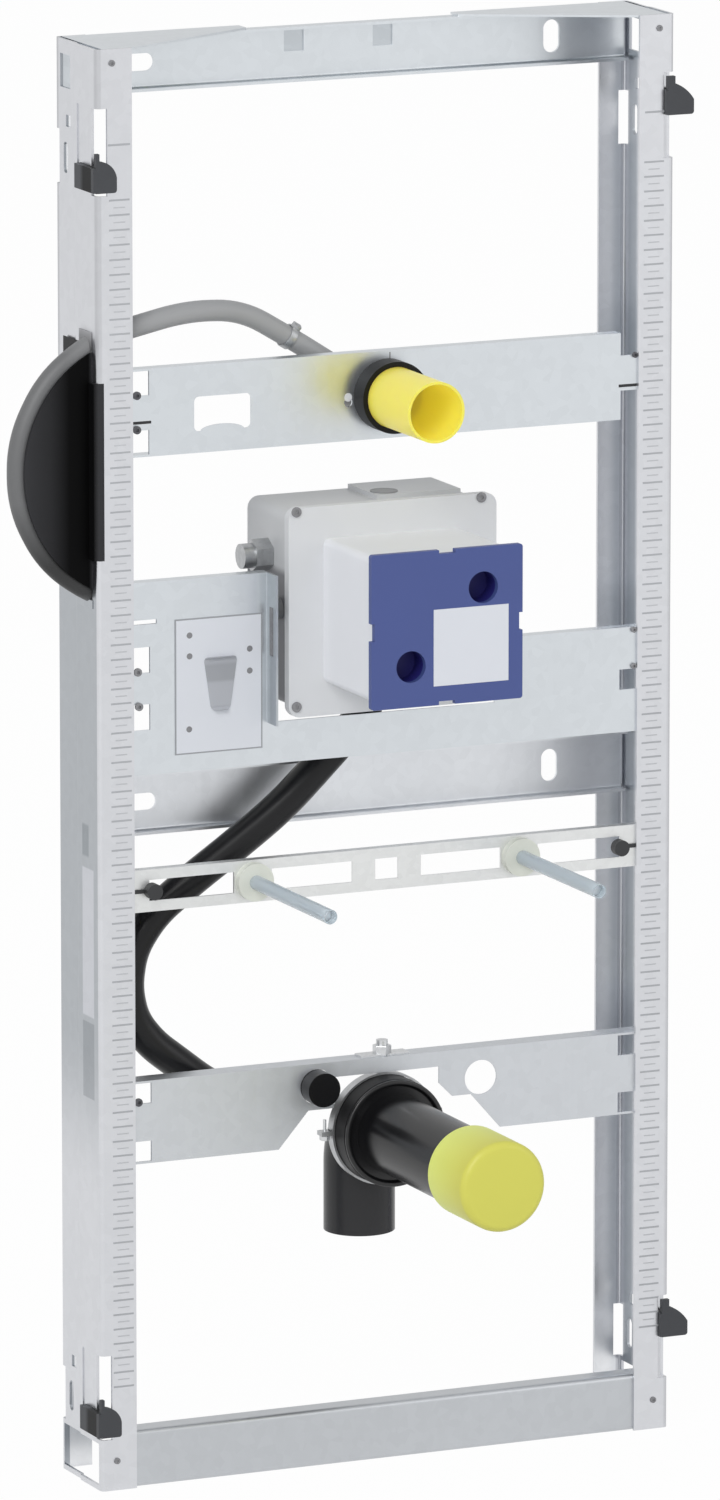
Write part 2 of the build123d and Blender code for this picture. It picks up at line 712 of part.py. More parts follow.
def rounded_box(width, height, corner, y_range):
    low, high = y_range
    return on_wall(Pos(0, BOX_MIDDLE) * RectangleRounded(width, height, corner), low, high - low)


def square_sleeve(width, height, corner, wall, y_range):
    """A rounded square tube along Y."""
    sleeve = rounded_box(width, height, corner, y_range)
    return sleeve - rounded_box(width - 2 * wall, height - 2 * wall, corner - wall, y_range)


def control_box():
    """The hollow rear housing behind the lid, with a raised hatch on its top."""
    width = BOX_WIDTH - 2 * BOX_INSET
    height = BOX_HEIGHT - 2 * BOX_INSET
    start = BOX_FACE + LID
    walls = square_sleeve(width, height, BOX_CORNER, BOX_WALL, (start, BOX_REAR))
    box = walls + rounded_box(width, height, BOX_CORNER, (BOX_REAR - BOX_WALL, BOX_REAR))
    top = BOX_MIDDLE + height / 2
    hatch_depth = (FRONT + HATCH_FRONT, FRONT + HATCH_BACK)
    return box + block((HATCH_LEFT, HATCH_RIGHT), hatch_depth, (top - BOX_WALL, top + HATCH_RISE))


def box_lid():
    depth = (BOX_FACE, BOX_FACE + LID)
    lid = rounded_box(BOX_WIDTH, BOX_HEIGHT, BOX_CORNER, depth)
    mouth = (NECK_WIDTH - 2 * NECK_WALL, NECK_HEIGHT - 2 * NECK_WALL)
    return lid - rounded_box(*mouth, NECK_CORNER - NECK_WALL, depth)


def box_neck():
    """The square sleeve in front of the lid."""
    return square_sleeve(NECK_WIDTH, NECK_HEIGHT, NECK_CORNER, NECK_WALL, (COVER_FACE + COVER_DEPTH, BOX_FACE))


def box_cover():
    """The blue building-site cover, with two finger holes and a notch in each edge."""
    cover = rounded_box(COVER_WIDTH, COVER_HEIGHT, COVER_CORNER, (COVER_FACE, COVER_FACE + COVER_DEPTH))
    depth = (COVER_FACE - CUT_PAST, COVER_FACE + COVER_DEPTH + CUT_PAST)
    half_notch = COVER_NOTCH_LENGTH / 2
    for side in (-1, 1):
        cover -= rod_along_y(side * COVER_HOLE_X, BOX_MIDDLE + side * COVER_HOLE_Z, depth, COVER_HOLE / 2)
        x_edge = side * COVER_WIDTH / 2
        z_edge = BOX_MIDDLE + side * COVER_HEIGHT / 2
        x_notch = (x_edge - side * COVER_NOTCH_DEPTH, x_edge + side * CUT_PAST)
        z_notch = (z_edge - side * COVER_NOTCH_DEPTH, z_edge + side * CUT_PAST)
        cover -= block(x_notch, depth, (BOX_MIDDLE - half_notch, BOX_MIDDLE + half_notch))
        cover -= block((-half_notch, half_notch), depth, z_notch)
    return cover


def inlet_fitting():
    """The water inlet union on the left wall of the box."""
    middle = (BOX_LEFT, FRONT + DEPTH / 2, BOX_MIDDLE + FITTING_RISE)
    place = Plane(origin=middle, z_dir=(-1, 0, 0))
    pipe = extrude(place * Circle(FITTING_PIPE / 2), amount=FITTING_REACH)
    return pipe + extrude(place * RegularPolygon(FITTING_OUTER / 2, 6), amount=FITTING_NUT)


save("control_box", control_box())
save("box_lid", box_lid())
save("box_neck", box_neck())
save("box_cover", box_cover())
save("inlet_fitting", inlet_fitting())


# Fixing rods


def fixing_rod(x):
    return rod_along_y(x, ROD_HEIGHT, (FRONT - ROD_TIP + ROD_SETBACK, PLATE_REAR + ROD_TAIL), ROD / 2)


def rod_tube(x):
    reach = (FRONT - ROD_TIP, PLATE_FACE - ROD_WASHER_THICK)
    return ring_along_y(x, ROD_HEIGHT, reach, ROD_TUBE, ROD + SEAT_GAP)


def rod_washer(x):
    reach = (PLATE_FACE - ROD_WASHER_THICK, PLATE_FACE)
    return ring_along_y(x, ROD_HEIGHT, reach, ROD_WASHER, ROD + SEAT_GAP)


def rod_nut(x):
    place = Plane(origin=(x, PLATE_REAR, ROD_HEIGHT), z_dir=(0, 1, 0))
    nut = extrude(place * RegularPolygon(ROD_NUT / 2, 6, major_radius=False), amount=ROD_NUT_THICK)
    return nut - rod_along_y(x, ROD_HEIGHT, (PLATE_REAR, PLATE_REAR + ROD_NUT_THICK), (ROD + SEAT_GAP) / 2)


def bar_knob(side):
    """A round knob over the end of a slot, with a flat tail that runs to the post."""
    x = side * (FLANGE_EDGE - KNOB_SETBACK)
    knob = rod_along_y(x, ROD_HEIGHT, (PLATE_FACE - KNOB_DEPTH, PLATE_FACE), KNOB / 2)
    tail_z = (ROD_HEIGHT - KNOB_TAIL, ROD_HEIGHT + KNOB_TAIL)
    return knob + block((x, side * (FLANGE_EDGE - SEAT_GAP)), (PLATE_FACE - KNOB_TAIL, PLATE_FACE), tail_z)


for side_name, side in (("left", -1), ("right", 1)):
    rod_x = side * ROD_SPACING / 2
    save(f"{side_name}_rod", fixing_rod(rod_x))
    save(f"{side_name}_rod_tube", rod_tube(rod_x))
    save(f"{side_name}_rod_washer", rod_washer(rod_x))
    save(f"{side_name}_rod_nut", rod_nut(rod_x))
    save(f"{side_name}_bar_knob", bar_knob(side))


# Flush sleeve and bend


def flush_sleeve():
    reach = (FRONT - SLEEVE_FRONT, PLATE_REAR + SLEEVE_TAIL)
    return ring_along_y(0, FLUSH_HEIGHT, reach, SLEEVE_OUTER, SLEEVE_OUTER - 2 * SLEEVE_WALL)


def flush_seal():
    reach = (PLATE_FACE - SEAL_DEPTH, PLATE_FACE)
    return ring_along_y(0, FLUSH_HEIGHT, reach, SEAL_OUTER, SLEEVE_OUTER + 2 * SEAT_GAP)


def flush_bend():
    """The bend behind the sleeve, with a stub for the flush hose."""
    start = PLATE_REAR + SLEEVE_TAIL
    body = rod_along_y(0, FLUSH_HEIGHT, (start, start + BEND_BODY_DEPTH), BEND_BODY / 2)
    place = Plane(origin=(0, STUB_Y, FLUSH_HEIGHT), z_dir=(STUB_SIDE, 0, STUB_UP))
    return body + extrude(place * Circle(BEND_STUB / 2), amount=BEND_STUB_REACH)


save("flush_sleeve", flush_sleeve())
save("flush_seal", flush_seal())
save("flush_bend", flush_bend())


# Drain


def drain_elbow():
    """The elbow from the collar back and down to the open outlet."""
    turn = FRONT + DRAIN_BACK
    path = FilletPolyline(
        (0, COLLAR_REAR, DRAIN_HEIGHT),
        (0, turn, DRAIN_HEIGHT),
        (0, turn, DRAIN_HEIGHT - DRAIN_DROP),
        radius=turn - COLLAR_REAR - DRAIN_BEND_MARGIN,
    )
    section = Plane(origin=path @ 0, z_dir=path % 0)
    ring = Circle(DRAIN_OUTER / 2) - Circle(DRAIN_OUTER / 2 - DRAIN_WALL)
    return sweep(section * ring, path=path)


def drain_collar():
    return ring_along_y(
        0, DRAIN_HEIGHT, (FRONT - COLLAR_FRONT, COLLAR_REAR), COLLAR_OUTER, PIPE_OUTER + 2 * SEAT_GAP
    )


def drain_pipe():
    return ring_along_y(
        0, DRAIN_HEIGHT, (FRONT - PIPE_FRONT, COLLAR_REAR), PIPE_OUTER, PIPE_OUTER - 2 * PIPE_WALL
    )


def drain_cap():
    """The cup-shaped site cap over the pipe's front end."""
    face = FRONT - CAP_FRONT
    cap = rod_along_y(0, DRAIN_HEIGHT, (face, face + CAP_DEPTH), CAP_OUTER / 2)
    hollow = (face + CAP_WALL, face + CAP_DEPTH)
    return cap - rod_along_y(0, DRAIN_HEIGHT, hollow, PIPE_OUTER / 2 + SEAT_GAP)


def drain_clamp():
    """The steel band round the collar, with an ear on each side for its screws."""
    reach = (CLAMP_START, CLAMP_START + CLAMP_WIDTH)
    band = rod_along_y(0, DRAIN_HEIGHT, reach, CLAMP_OUTER)
    for side in (-1, 1):
        ends = (side * COLLAR_OUTER / 2, side * (CLAMP_OUTER + CLAMP_EAR))
        band += block(ends, reach, (DRAIN_HEIGHT - CLAMP_BAND, DRAIN_HEIGHT + CLAMP_BAND))
    return band - rod_along_y(0, DRAIN_HEIGHT, reach, COLLAR_OUTER / 2 + SEAT_GAP)


def drain_hanger():
    """The slide plate on the bracket's lip and the bolt that the clamp hangs on."""
    plate = block(
        (-HANGER_WIDTH / 2, HANGER_WIDTH / 2),
        (HANGER_Y - HANGER_DEPTH / 2, HANGER_Y + HANGER_DEPTH / 2),
        (BRACKET_TOP, BRACKET_TOP + PLATE),
    )
    foot = DRAIN_HEIGHT + CLAMP_OUTER
    length = BRACKET_TOP + HANGER_RISE - foot
    return plate + Pos(0, HANGER_Y, foot + length / 2) * Cylinder(HANGER_BOLT / 2, length)


save("drain_elbow", drain_elbow())
save("drain_collar", drain_collar())
save("drain_pipe", drain_pipe())
save("drain_cap", drain_cap())
save("drain_clamp", drain_clamp())
save("drain_hanger", drain_hanger())


# Hoses, by points chosen along their routes


def along_stub(reach):
    """A point on the axis of the flush bend's hose stub."""
    return (STUB_SIDE * reach, STUB_Y, FLUSH_HEIGHT + STUB_UP * reach)


def round_guide(angle):
    """A corner of the hose's path outside the guide's drum, by its angle from +X."""
    reach = GUIDE_HOSE / cos(radians(GUIDE_STEP / 2))
    return (GUIDE_X + reach * cos(radians(angle)), GUIDE_HOSE_Y, GUIDE_Z + reach * sin(radians(angle)))


flush_hose_points = [
    along_stub(BEND_STUB_REACH),
    along_stub(BEND_STUB_REACH + 2 * BEND_STUB),
    (-97, HOSE_MIDWAY_Y, 798),
    (-140, GUIDE_HOSE_Y, 801),
    round_guide(110),
    round_guide(138),
    round_guide(166),
    round_guide(194),
    round_guide(222),
    round_guide(250),
    (-132, GUIDE_HOSE_Y, 597),
    (-102, GUIDE_HOSE_Y, 594),
    (BOX_LEFT, GUIDE_HOSE_Y, 594),
]
conduit_points = [
    (2, 30, BOX_UNDERSIDE),
    (2, 30, 514),
    (-22, 30, 490),
    (-61, 30, 453),
    (-97, 30, 428),
    (-129, 30, 407),
    (-156, 30, 387),
    (-172, 30, 364),
    (-176, 30, 338),
    (-171, 30, 315),
    (-157, 30, 297),
    (-139, 31, 283),
    (-116, 35, 265),
    (-92, 43, 252),
    (OUTLET_X - 6, 49, 250),
    (OUTLET_X, 22, OUTLET_Z),
    (OUTLET_X, PLATE_REAR + OUTLET_TAIL, OUTLET_Z),
]
save("flush_hose", hose(flush_hose_points, FLUSH_HOSE))
save("conduit", hose(conduit_points, CONDUIT))


def hose_guide():
    """The moulded half drum outside the left post: a front cheek, a drum wall and a rear seat."""
    reach = 2 * GUIDE_CHEEK
    outside = block((-HALF - reach, -HALF), (FRONT, BACK), (GUIDE_Z - reach, GUIDE_Z + reach))
    depth = (GUIDE_FACE, GUIDE_FACE + GUIDE_DEPTH)
    cheek = rod_along_y(GUIDE_X, GUIDE_Z, (GUIDE_FACE, GUIDE_FACE + GUIDE_WALL), GUIDE_CHEEK) & outside
    drum = rod_along_y(GUIDE_X, GUIDE_Z, depth, GUIDE_DRUM) & outside
    hollow = rod_along_y(GUIDE_X, GUIDE_Z, (GUIDE_FACE + GUIDE_WALL, BACK), GUIDE_DRUM - GUIDE_WALL)
    hollow &= block((-HALF - reach, -HALF - GUIDE_WALL), (FRONT, BACK), (GUIDE_Z - reach, GUIDE_Z + reach))
    bead = block(
        (-HALF - GUIDE_WALL, -HALF + GUIDE_CORNER - SEAT_GAP),
        (FRONT, GUIDE_FACE + GUIDE_WALL),
        (GUIDE_Z - GUIDE_BEAD_HALF + SEAT_GAP, GUIDE_Z + GUIDE_BEAD_HALF - SEAT_GAP),
    )
    return cheek + (drum - hollow) + bead


save("hose_guide", hose_guide())


def conduit_plug():
    """The round plug at the end of the conduit, standing out of the drain bracket."""
    return rod_along_y(OUTLET_X, OUTLET_Z, (FRONT - OUTLET_FRONT, PLATE_REAR + OUTLET_TAIL), OUTLET / 2)


save("conduit_plug", conduit_plug())


# Profile clips


def clip_fin(start, width, neck, bulge, low):
    """The front fin of a clip: square below, a bulging back and a narrow neck above."""
    shoulder = Vector(start + neck, low + CLIP_SHOULDER)
    heel = Vector(start + width, low + CLIP_FIN_STRAIGHT)
    across = (shoulder - heel).normalized()
    crest = (shoulder + heel) / 2 + Vector(across.Y, -across.X) * bulge
    top = low + CLIP_HEIGHT
    sides = Polyline(
        shoulder,
        (start + neck, top),
        (start, top),
        (start, low),
        (start + width, low),
        heel,
    )
    shape = make_face(sides + ThreePointArc(heel, crest, shoulder))
    toe = shape.vertices().sort_by(Axis.Y)[:2].sort_by(Axis.X)[-1]
    return on_wall(fillet(toe, CLIP_CORNER), FRONT - CLIP_FIN_THICK, CLIP_FIN_THICK)


def profile_clip(side, fin, low):
    """A moulded hook in a corner window: a tongue in the web and a round-backed fin in front."""
    tongue_x = (side * (HALF + CLIP_TONGUE_OUT), side * (HALF - 2 * SHEET))
    tongue_z = (low + SEAT_GAP, low + CLIP_TONGUE_HEIGHT - SEAT_GAP)
    tongue = block(tongue_x, (FRONT - CLIP_FIN_THICK, FRONT + CLIP_TONGUE_DEPTH - SEAT_GAP), tongue_z)
    root_x = (side * (HALF + CLIP_TONGUE_OUT), side * (HALF - CLIP_WINDOW_WIDTH + SEAT_GAP))
    root = block(root_x, (FRONT - CLIP_FIN_THICK, FRONT + CLIP_WINDOW_WIDTH - SEAT_GAP), tongue_z)
    return fin + tongue + root


for level, window in (("lower", CLIP_WINDOW_LOW), ("upper", CLIP_WINDOW_HIGH)):
    seat = window + CLIP_SILL
    left_fin = clip_fin(-HALF - CLIP_LEFT_OVERHANG, CLIP_LEFT_FIN, CLIP_LEFT_NECK, CLIP_LEFT_BULGE, seat)
    right_fin = clip_fin(
        HALF - CLIP_RIGHT_BITE, CLIP_RIGHT_FIN, CLIP_RIGHT_NECK, CLIP_RIGHT_BULGE, seat + CLIP_RISE
    )
    save(f"{level}_left_clip", profile_clip(-1, left_fin, seat))
    save(f"{level}_right_clip", profile_clip(1, right_fin, seat + CLIP_RISE))
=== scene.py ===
# %% [markdown]
# # Urinal installation frame
# A folded steel wall frame carries a flush control box, a flush pipe sleeve, two fixing rods and a
# drain elbow. The solids come from the CAD model as a fixed frame. This lesson gives them their
# finishes and adds what a drawing leaves out: printed scales, screws, labels and clamps.

# %% Load the frame
import json
from math import radians

import bmesh
import bpy
from mathutils import Matrix, Vector


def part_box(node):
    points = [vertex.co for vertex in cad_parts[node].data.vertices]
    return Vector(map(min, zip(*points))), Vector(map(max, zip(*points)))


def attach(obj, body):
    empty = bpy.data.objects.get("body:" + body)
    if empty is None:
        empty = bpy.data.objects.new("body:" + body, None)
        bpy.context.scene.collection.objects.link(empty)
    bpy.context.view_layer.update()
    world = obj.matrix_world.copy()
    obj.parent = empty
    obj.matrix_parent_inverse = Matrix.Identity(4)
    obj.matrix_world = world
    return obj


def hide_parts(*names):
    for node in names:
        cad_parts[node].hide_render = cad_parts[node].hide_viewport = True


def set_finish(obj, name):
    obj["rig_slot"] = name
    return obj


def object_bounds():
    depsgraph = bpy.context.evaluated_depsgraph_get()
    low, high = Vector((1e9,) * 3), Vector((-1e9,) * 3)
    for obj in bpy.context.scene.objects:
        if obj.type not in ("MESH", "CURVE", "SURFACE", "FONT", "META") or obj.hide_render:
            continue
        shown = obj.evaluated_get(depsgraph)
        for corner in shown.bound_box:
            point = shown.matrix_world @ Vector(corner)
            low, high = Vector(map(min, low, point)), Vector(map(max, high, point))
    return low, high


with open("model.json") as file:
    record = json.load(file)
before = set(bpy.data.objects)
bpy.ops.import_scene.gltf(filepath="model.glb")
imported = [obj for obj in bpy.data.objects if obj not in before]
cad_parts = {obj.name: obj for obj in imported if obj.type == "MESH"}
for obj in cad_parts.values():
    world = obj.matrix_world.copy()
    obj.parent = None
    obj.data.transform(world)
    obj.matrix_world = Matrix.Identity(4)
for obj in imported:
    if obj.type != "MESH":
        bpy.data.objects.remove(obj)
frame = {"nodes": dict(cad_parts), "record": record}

MM = 0.001
nodes = frame["nodes"]
cad_low, cad_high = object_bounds()
print("solids", len(nodes), "overall", [round(side, 3) for side in cad_high - cad_low])

# %% [markdown]
# ## Camera
# The frame was photographed from the left, a little above the middle, with a long lens, so upright
# edges stay almost parallel. A real camera would be tilted down a little, and so is this one.

# %% Camera
CAMERA_PLACE = (-3.3799, -7.4097, 2.1304)
CAMERA_TILT = 11.373
CAMERA_TURN = 24.416
LENS = 294.97
SENSOR = 36.0

camera_data = bpy.data.cameras.new("camera")
camera_data.sensor_fit = "VERTICAL"
camera_data.sensor_height = SENSOR
camera_data.lens = LENS
camera_data.clip_end = 100.0
camera = bpy.data.objects.new("camera", camera_data)
camera.location = CAMERA_PLACE
camera.rotation_euler = (radians(90 - CAMERA_TILT), 0, -radians(CAMERA_TURN))
bpy.context.scene.collection.objects.link(camera)
bpy.context.scene.camera = camera
bpy.context.scene.view_settings.view_transform = "Standard"
print("camera at", CAMERA_PLACE, "lens", LENS)

# %% [markdown]
# ## Studio
# Bright sheet metal shows what surrounds it more than its own colour. So the room is white to the
# left and above, and a little darker to the right, as a studio with one window side would be.
# Matt surfaces get a weaker sky, and two large soft lamps give them their shape.

# %% Room and sky
AMBIENT = 0.50
BRIGHT_SIDE = 1.0
DIM_SIDE = 0.70
BRIGHT_UP_TO = -0.6
DIM_FROM = 0.9

world = bpy.data.worlds.new("studio")
bpy.context.scene.world = world
world.use_nodes = True
sky = world.node_tree
sky.nodes.clear()


def sky_node(kind, **values):
    made = sky.nodes.new(kind)
    for name, value in values.items():
        made.inputs[name].default_value = value
    return made


direction = sky_node("ShaderNodeTexCoord")
split = sky_node("ShaderNodeSeparateXYZ")
side_ramp = sky_node("ShaderNodeMapRange")
side_ramp.inputs["From Min"].default_value = BRIGHT_UP_TO
side_ramp.inputs["From Max"].default_value = DIM_FROM
side_ramp.inputs["To Min"].default_value = BRIGHT_SIDE
side_ramp.inputs["To Max"].default_value = DIM_SIDE
mirror_sky = sky_node("ShaderNodeBackground", Color=(1, 1, 1, 1))
white_sky = sky_node("ShaderNodeBackground", Color=(1, 1, 1, 1))
soft_sky = sky_node("ShaderNodeBackground", Color=(0.95, 0.97, 1.0, 1), Strength=AMBIENT)
rays = sky_node("ShaderNodeLightPath")
shiny_rays = sky.nodes.new("ShaderNodeMath")
shiny_rays.operation = "MAXIMUM"
shiny_mix = sky_node("ShaderNodeMixShader")
camera_mix = sky_node("ShaderNodeMixShader")
sky_out = sky_node("ShaderNodeOutputWorld")
sky.links.new(direction.outputs["Generated"], split.inputs[0])
sky.links.new(split.outputs["X"], side_ramp.inputs["Value"])
sky.links.new(side_ramp.outputs[0], mirror_sky.inputs["Strength"])
sky.links.new(rays.outputs["Is Glossy Ray"], shiny_rays.inputs[0])
sky.links.new(rays.outputs["Is Transmission Ray"], shiny_rays.inputs[1])
sky.links.new(shiny_rays.outputs[0], shiny_mix.inputs[0])
sky.links.new(soft_sky.outputs[0], shiny_mix.inputs[1])
sky.links.new(mirror_sky.outputs[0], shiny_mix.inputs[2])
sky.links.new(rays.outputs["Is Camera Ray"], camera_mix.inputs[0])
sky.links.new(shiny_mix.outputs[0], camera_mix.inputs[1])
sky.links.new(white_sky.outputs[0], camera_mix.inputs[2])
sky.links.new(camera_mix.outputs[0], sky_out.inputs[0])
print("sky nodes", len(sky.nodes))

# %% Lamps
LAMPS = {
    "key": ((-3.2, -3.4, 3.6), 3.0, 120.0),
    "fill": ((3.4, -3.2, 2.0), 3.0, 30.0),
}
LAMP_TARGET = Vector((0, 0, 0.5))

for lamp_name, (place, size, power) in LAMPS.items():
    lamp_data = bpy.data.lights.new(lamp_name, "AREA")
    lamp_data.shape = "SQUARE"
    lamp_data.size = size
    lamp_data.energy = power
    lamp = bpy.data.objects.new(lamp_name, lamp_data)
    lamp.location = place
    lamp.rotation_euler = (LAMP_TARGET - Vector(place)).to_track_quat("-Z", "Y").to_euler()
    bpy.context.scene.collection.objects.link(lamp)
print("lamps", list(LAMPS))

# %% [markdown]
# The floor is a plain pale sheet. Seen straight by the camera it is mostly white, so that the
# background stays clean, and the rest of it still takes the soft shadow of the frame. The plates
# mirror the floor in front of them, so mirrors and clear plastic see it nearly as white.

# %% Node helpers
def wire(tree, start, end):
    tree.links.new(start, end)


def math_node(tree, operation, first, second):
    """A Math node whose two inputs are sockets or plain numbers."""
    made = tree.nodes.new("ShaderNodeMath")
    made.operation = operation
    for index, value in enumerate((first, second)):
        if isinstance(value, (int, float)):
            made.inputs[index].default_value = value
        else:
            wire(tree, value, made.inputs[index])
    return made.outputs[0]


# %% Floor
FLOOR_SIZE = 60.0
FLOOR_WHITE = 0.975
FLOOR_SHEEN = 0.80

bpy.ops.object.select_all(action="DESELECT")
bpy.ops.mesh.primitive_plane_add(size=FLOOR_SIZE, location=(0, 0, cad_low.z))
floor = bpy.context.object
floor.name = "floor"
floor_finish = bpy.data.materials.new("pale_floor")
floor_finish.use_nodes = True
floor_tree = floor_finish.node_tree
floor_tree.nodes.clear()
floor_matt = floor_tree.nodes.new("ShaderNodeBsdfDiffuse")
floor_matt.inputs["Color"].default_value = (0.85, 0.85, 0.85, 1)
floor_glow = floor_tree.nodes.new("ShaderNodeEmission")
floor_rays = floor_tree.nodes.new("ShaderNodeLightPath")
straight_share = math_node(floor_tree, "MULTIPLY", floor_rays.outputs["Is Camera Ray"], FLOOR_WHITE)
shiny_floor = math_node(
    floor_tree, "MAXIMUM", floor_rays.outputs["Is Glossy Ray"], floor_rays.outputs["Is Transmission Ray"]
)
mirror_share = math_node(floor_tree, "MULTIPLY", shiny_floor, FLOOR_SHEEN)
floor_share = math_node(floor_tree, "MAXIMUM", straight_share, mirror_share)
floor_mix = floor_tree.nodes.new("ShaderNodeMixShader")
floor_out = floor_tree.nodes.new("ShaderNodeOutputMaterial")
floor_tree.links.new(floor_share, floor_mix.inputs[0])
floor_tree.links.new(floor_matt.outputs[0], floor_mix.inputs[1])
floor_tree.links.new(floor_glow.outputs[0], floor_mix.inputs[2])
floor_tree.links.new(floor_mix.outputs[0], floor_out.inputs[0])
floor.data.materials.append(floor_finish)
print("floor", FLOOR_SIZE, "m")

# %% [markdown]
# ## Finishes
# Two effects repeat. Galvanised sheet has a faint patchwork of zinc crystals and long rolling marks.
# Moulded plastic has a fine grain and a slightly uneven tone. Each is a node group that puts out a
# colour, a roughness and a height, and each material gives it its own values.

# %% Group helper
def effect_group(name, inputs):
    """A shader group with a coordinate input, named value inputs, and the three outputs."""
    group = bpy.data.node_groups.new(name, "ShaderNodeTree")
    group.interface.new_socket("Place", in_out="INPUT", socket_type="NodeSocketVector")
    for socket, kind, value in inputs:
        made = group.interface.new_socket(socket, in_out="INPUT", socket_type=kind)
        made.default_value = value
    group.interface.new_socket("Color", in_out="OUTPUT", socket_type="NodeSocketColor")
    group.interface.new_socket("Roughness", in_out="OUTPUT", socket_type="NodeSocketFloat")
    group.interface.new_socket("Height", in_out="OUTPUT", socket_type="NodeSocketFloat")
    entry = group.nodes.new("NodeGroupInput")
    exit_node = group.nodes.new("NodeGroupOutput")
    return group, entry, exit_node


def toned(tree, colour, factor):
    """Multiplies a colour by a grey factor."""
    made = tree.nodes.new("ShaderNodeVectorMath")
    made.operation = "SCALE"
    wire(tree, colour, made.inputs[0])
    wire(tree, factor, made.inputs["Scale"])
    return made.outputs[0]


def about_one(tree, value, contrast):
    """Turns a 0 to 1 pattern into a factor that wavers about 1 by the contrast."""
    centred = math_node(tree, "SUBTRACT", value, 0.5)
    return math_node(tree, "ADD", math_node(tree, "MULTIPLY", centred, contrast), 1.0)


# %% Zinc sheet group
ROLLING_SCALE = (420.0, 420.0, 9.0)
CLOUD_SCALE = 14.0
ROLLING_WAVER = 0.35
zinc_sheet, zinc_in, zinc_out = effect_group(
    "zinc_sheet",
    [
        ("Tint", "NodeSocketColor", (0.7, 0.7, 0.7, 1)),
        ("Crystal Scale", "NodeSocketFloat", 160.0),
        ("Contrast", "NodeSocketFloat", 0.10),
        ("Gloss", "NodeSocketFloat", 0.36),
    ],
)
crystals = zinc_sheet.nodes.new("ShaderNodeTexVoronoi")
crystals.feature = "F1"
wire(zinc_sheet, zinc_in.outputs["Place"], crystals.inputs["Vector"])
wire(zinc_sheet, zinc_in.outputs["Crystal Scale"], crystals.inputs["Scale"])
crystal_split = zinc_sheet.nodes.new("ShaderNodeSeparateColor")
wire(zinc_sheet, crystals.outputs["Color"], crystal_split.inputs[0])
rolled = zinc_sheet.nodes.new("ShaderNodeMapping")
rolled.inputs["Scale"].default_value = ROLLING_SCALE
wire(zinc_sheet, zinc_in.outputs["Place"], rolled.inputs["Vector"])
streaks = zinc_sheet.nodes.new("ShaderNodeTexNoise")
streaks.inputs["Scale"].default_value = 1.0
streaks.inputs["Detail"].default_value = 3.0
wire(zinc_sheet, rolled.outputs[0], streaks.inputs["Vector"])
clouds = zinc_sheet.nodes.new("ShaderNodeTexNoise")
clouds.inputs["Scale"].default_value = CLOUD_SCALE
clouds.inputs["Detail"].default_value = 2.0
wire(zinc_sheet, zinc_in.outputs["Place"], clouds.inputs["Vector"])
zinc_tone = math_node(
    zinc_sheet,
    "MULTIPLY",
    about_one(zinc_sheet, crystal_split.outputs["Red"], zinc_in.outputs["Contrast"]),
    about_one(zinc_sheet, clouds.outputs["Fac"], zinc_in.outputs["Contrast"]),
)
zinc_gloss = math_node(
    zinc_sheet,
    "MULTIPLY",
    zinc_in.outputs["Gloss"],
    about_one(zinc_sheet, streaks.outputs["Fac"], ROLLING_WAVER),
)
wire(zinc_sheet, toned(zinc_sheet, zinc_in.outputs["Tint"], zinc_tone), zinc_out.inputs["Color"])
wire(zinc_sheet, zinc_gloss, zinc_out.inputs["Roughness"])
wire(zinc_sheet, streaks.outputs["Fac"], zinc_out.inputs["Height"])
print("group", zinc_sheet.name, len(zinc_sheet.nodes), "nodes")

# %% Moulded grain group
DRIFT_SCALE = 22.0
DRIFT_WAVER = 0.25
moulded_grain, grain_in, grain_out = effect_group(
    "moulded_grain",
    [
        ("Tint", "NodeSocketColor", (0.5, 0.5, 0.5, 1)),
        ("Grain Scale", "NodeSocketFloat", 900.0),
        ("Contrast", "NodeSocketFloat", 0.08),
        ("Gloss", "NodeSocketFloat", 0.45),
    ],
)
grain = moulded_grain.nodes.new("ShaderNodeTexNoise")
grain.inputs["Detail"].default_value = 4.0
wire(moulded_grain, grain_in.outputs["Place"], grain.inputs["Vector"])
wire(moulded_grain, grain_in.outputs["Grain Scale"], grain.inputs["Scale"])
drift = moulded_grain.nodes.new("ShaderNodeTexNoise")
drift.inputs["Scale"].default_value = DRIFT_SCALE
drift.inputs["Detail"].default_value = 2.0
wire(moulded_grain, grain_in.outputs["Place"], drift.inputs["Vector"])
grain_tone = about_one(moulded_grain, drift.outputs["Fac"], grain_in.outputs["Contrast"])
grain_gloss = math_node(
    moulded_grain,
    "MULTIPLY",
    grain_in.outputs["Gloss"],
    about_one(moulded_grain, drift.outputs["Fac"], DRIFT_WAVER),
)
wire(moulded_grain, toned(moulded_grain, grain_in.outputs["Tint"], grain_tone), grain_out.inputs["Color"])
wire(moulded_grain, grain_gloss, grain_out.inputs["Roughness"])
wire(moulded_grain, grain.outputs["Fac"], grain_out.inputs["Height"])
print("group", moulded_grain.name, len(moulded_grain.nodes), "nodes")


# %% Material helper
RELIEF_DISTANCE = 0.2 * MM


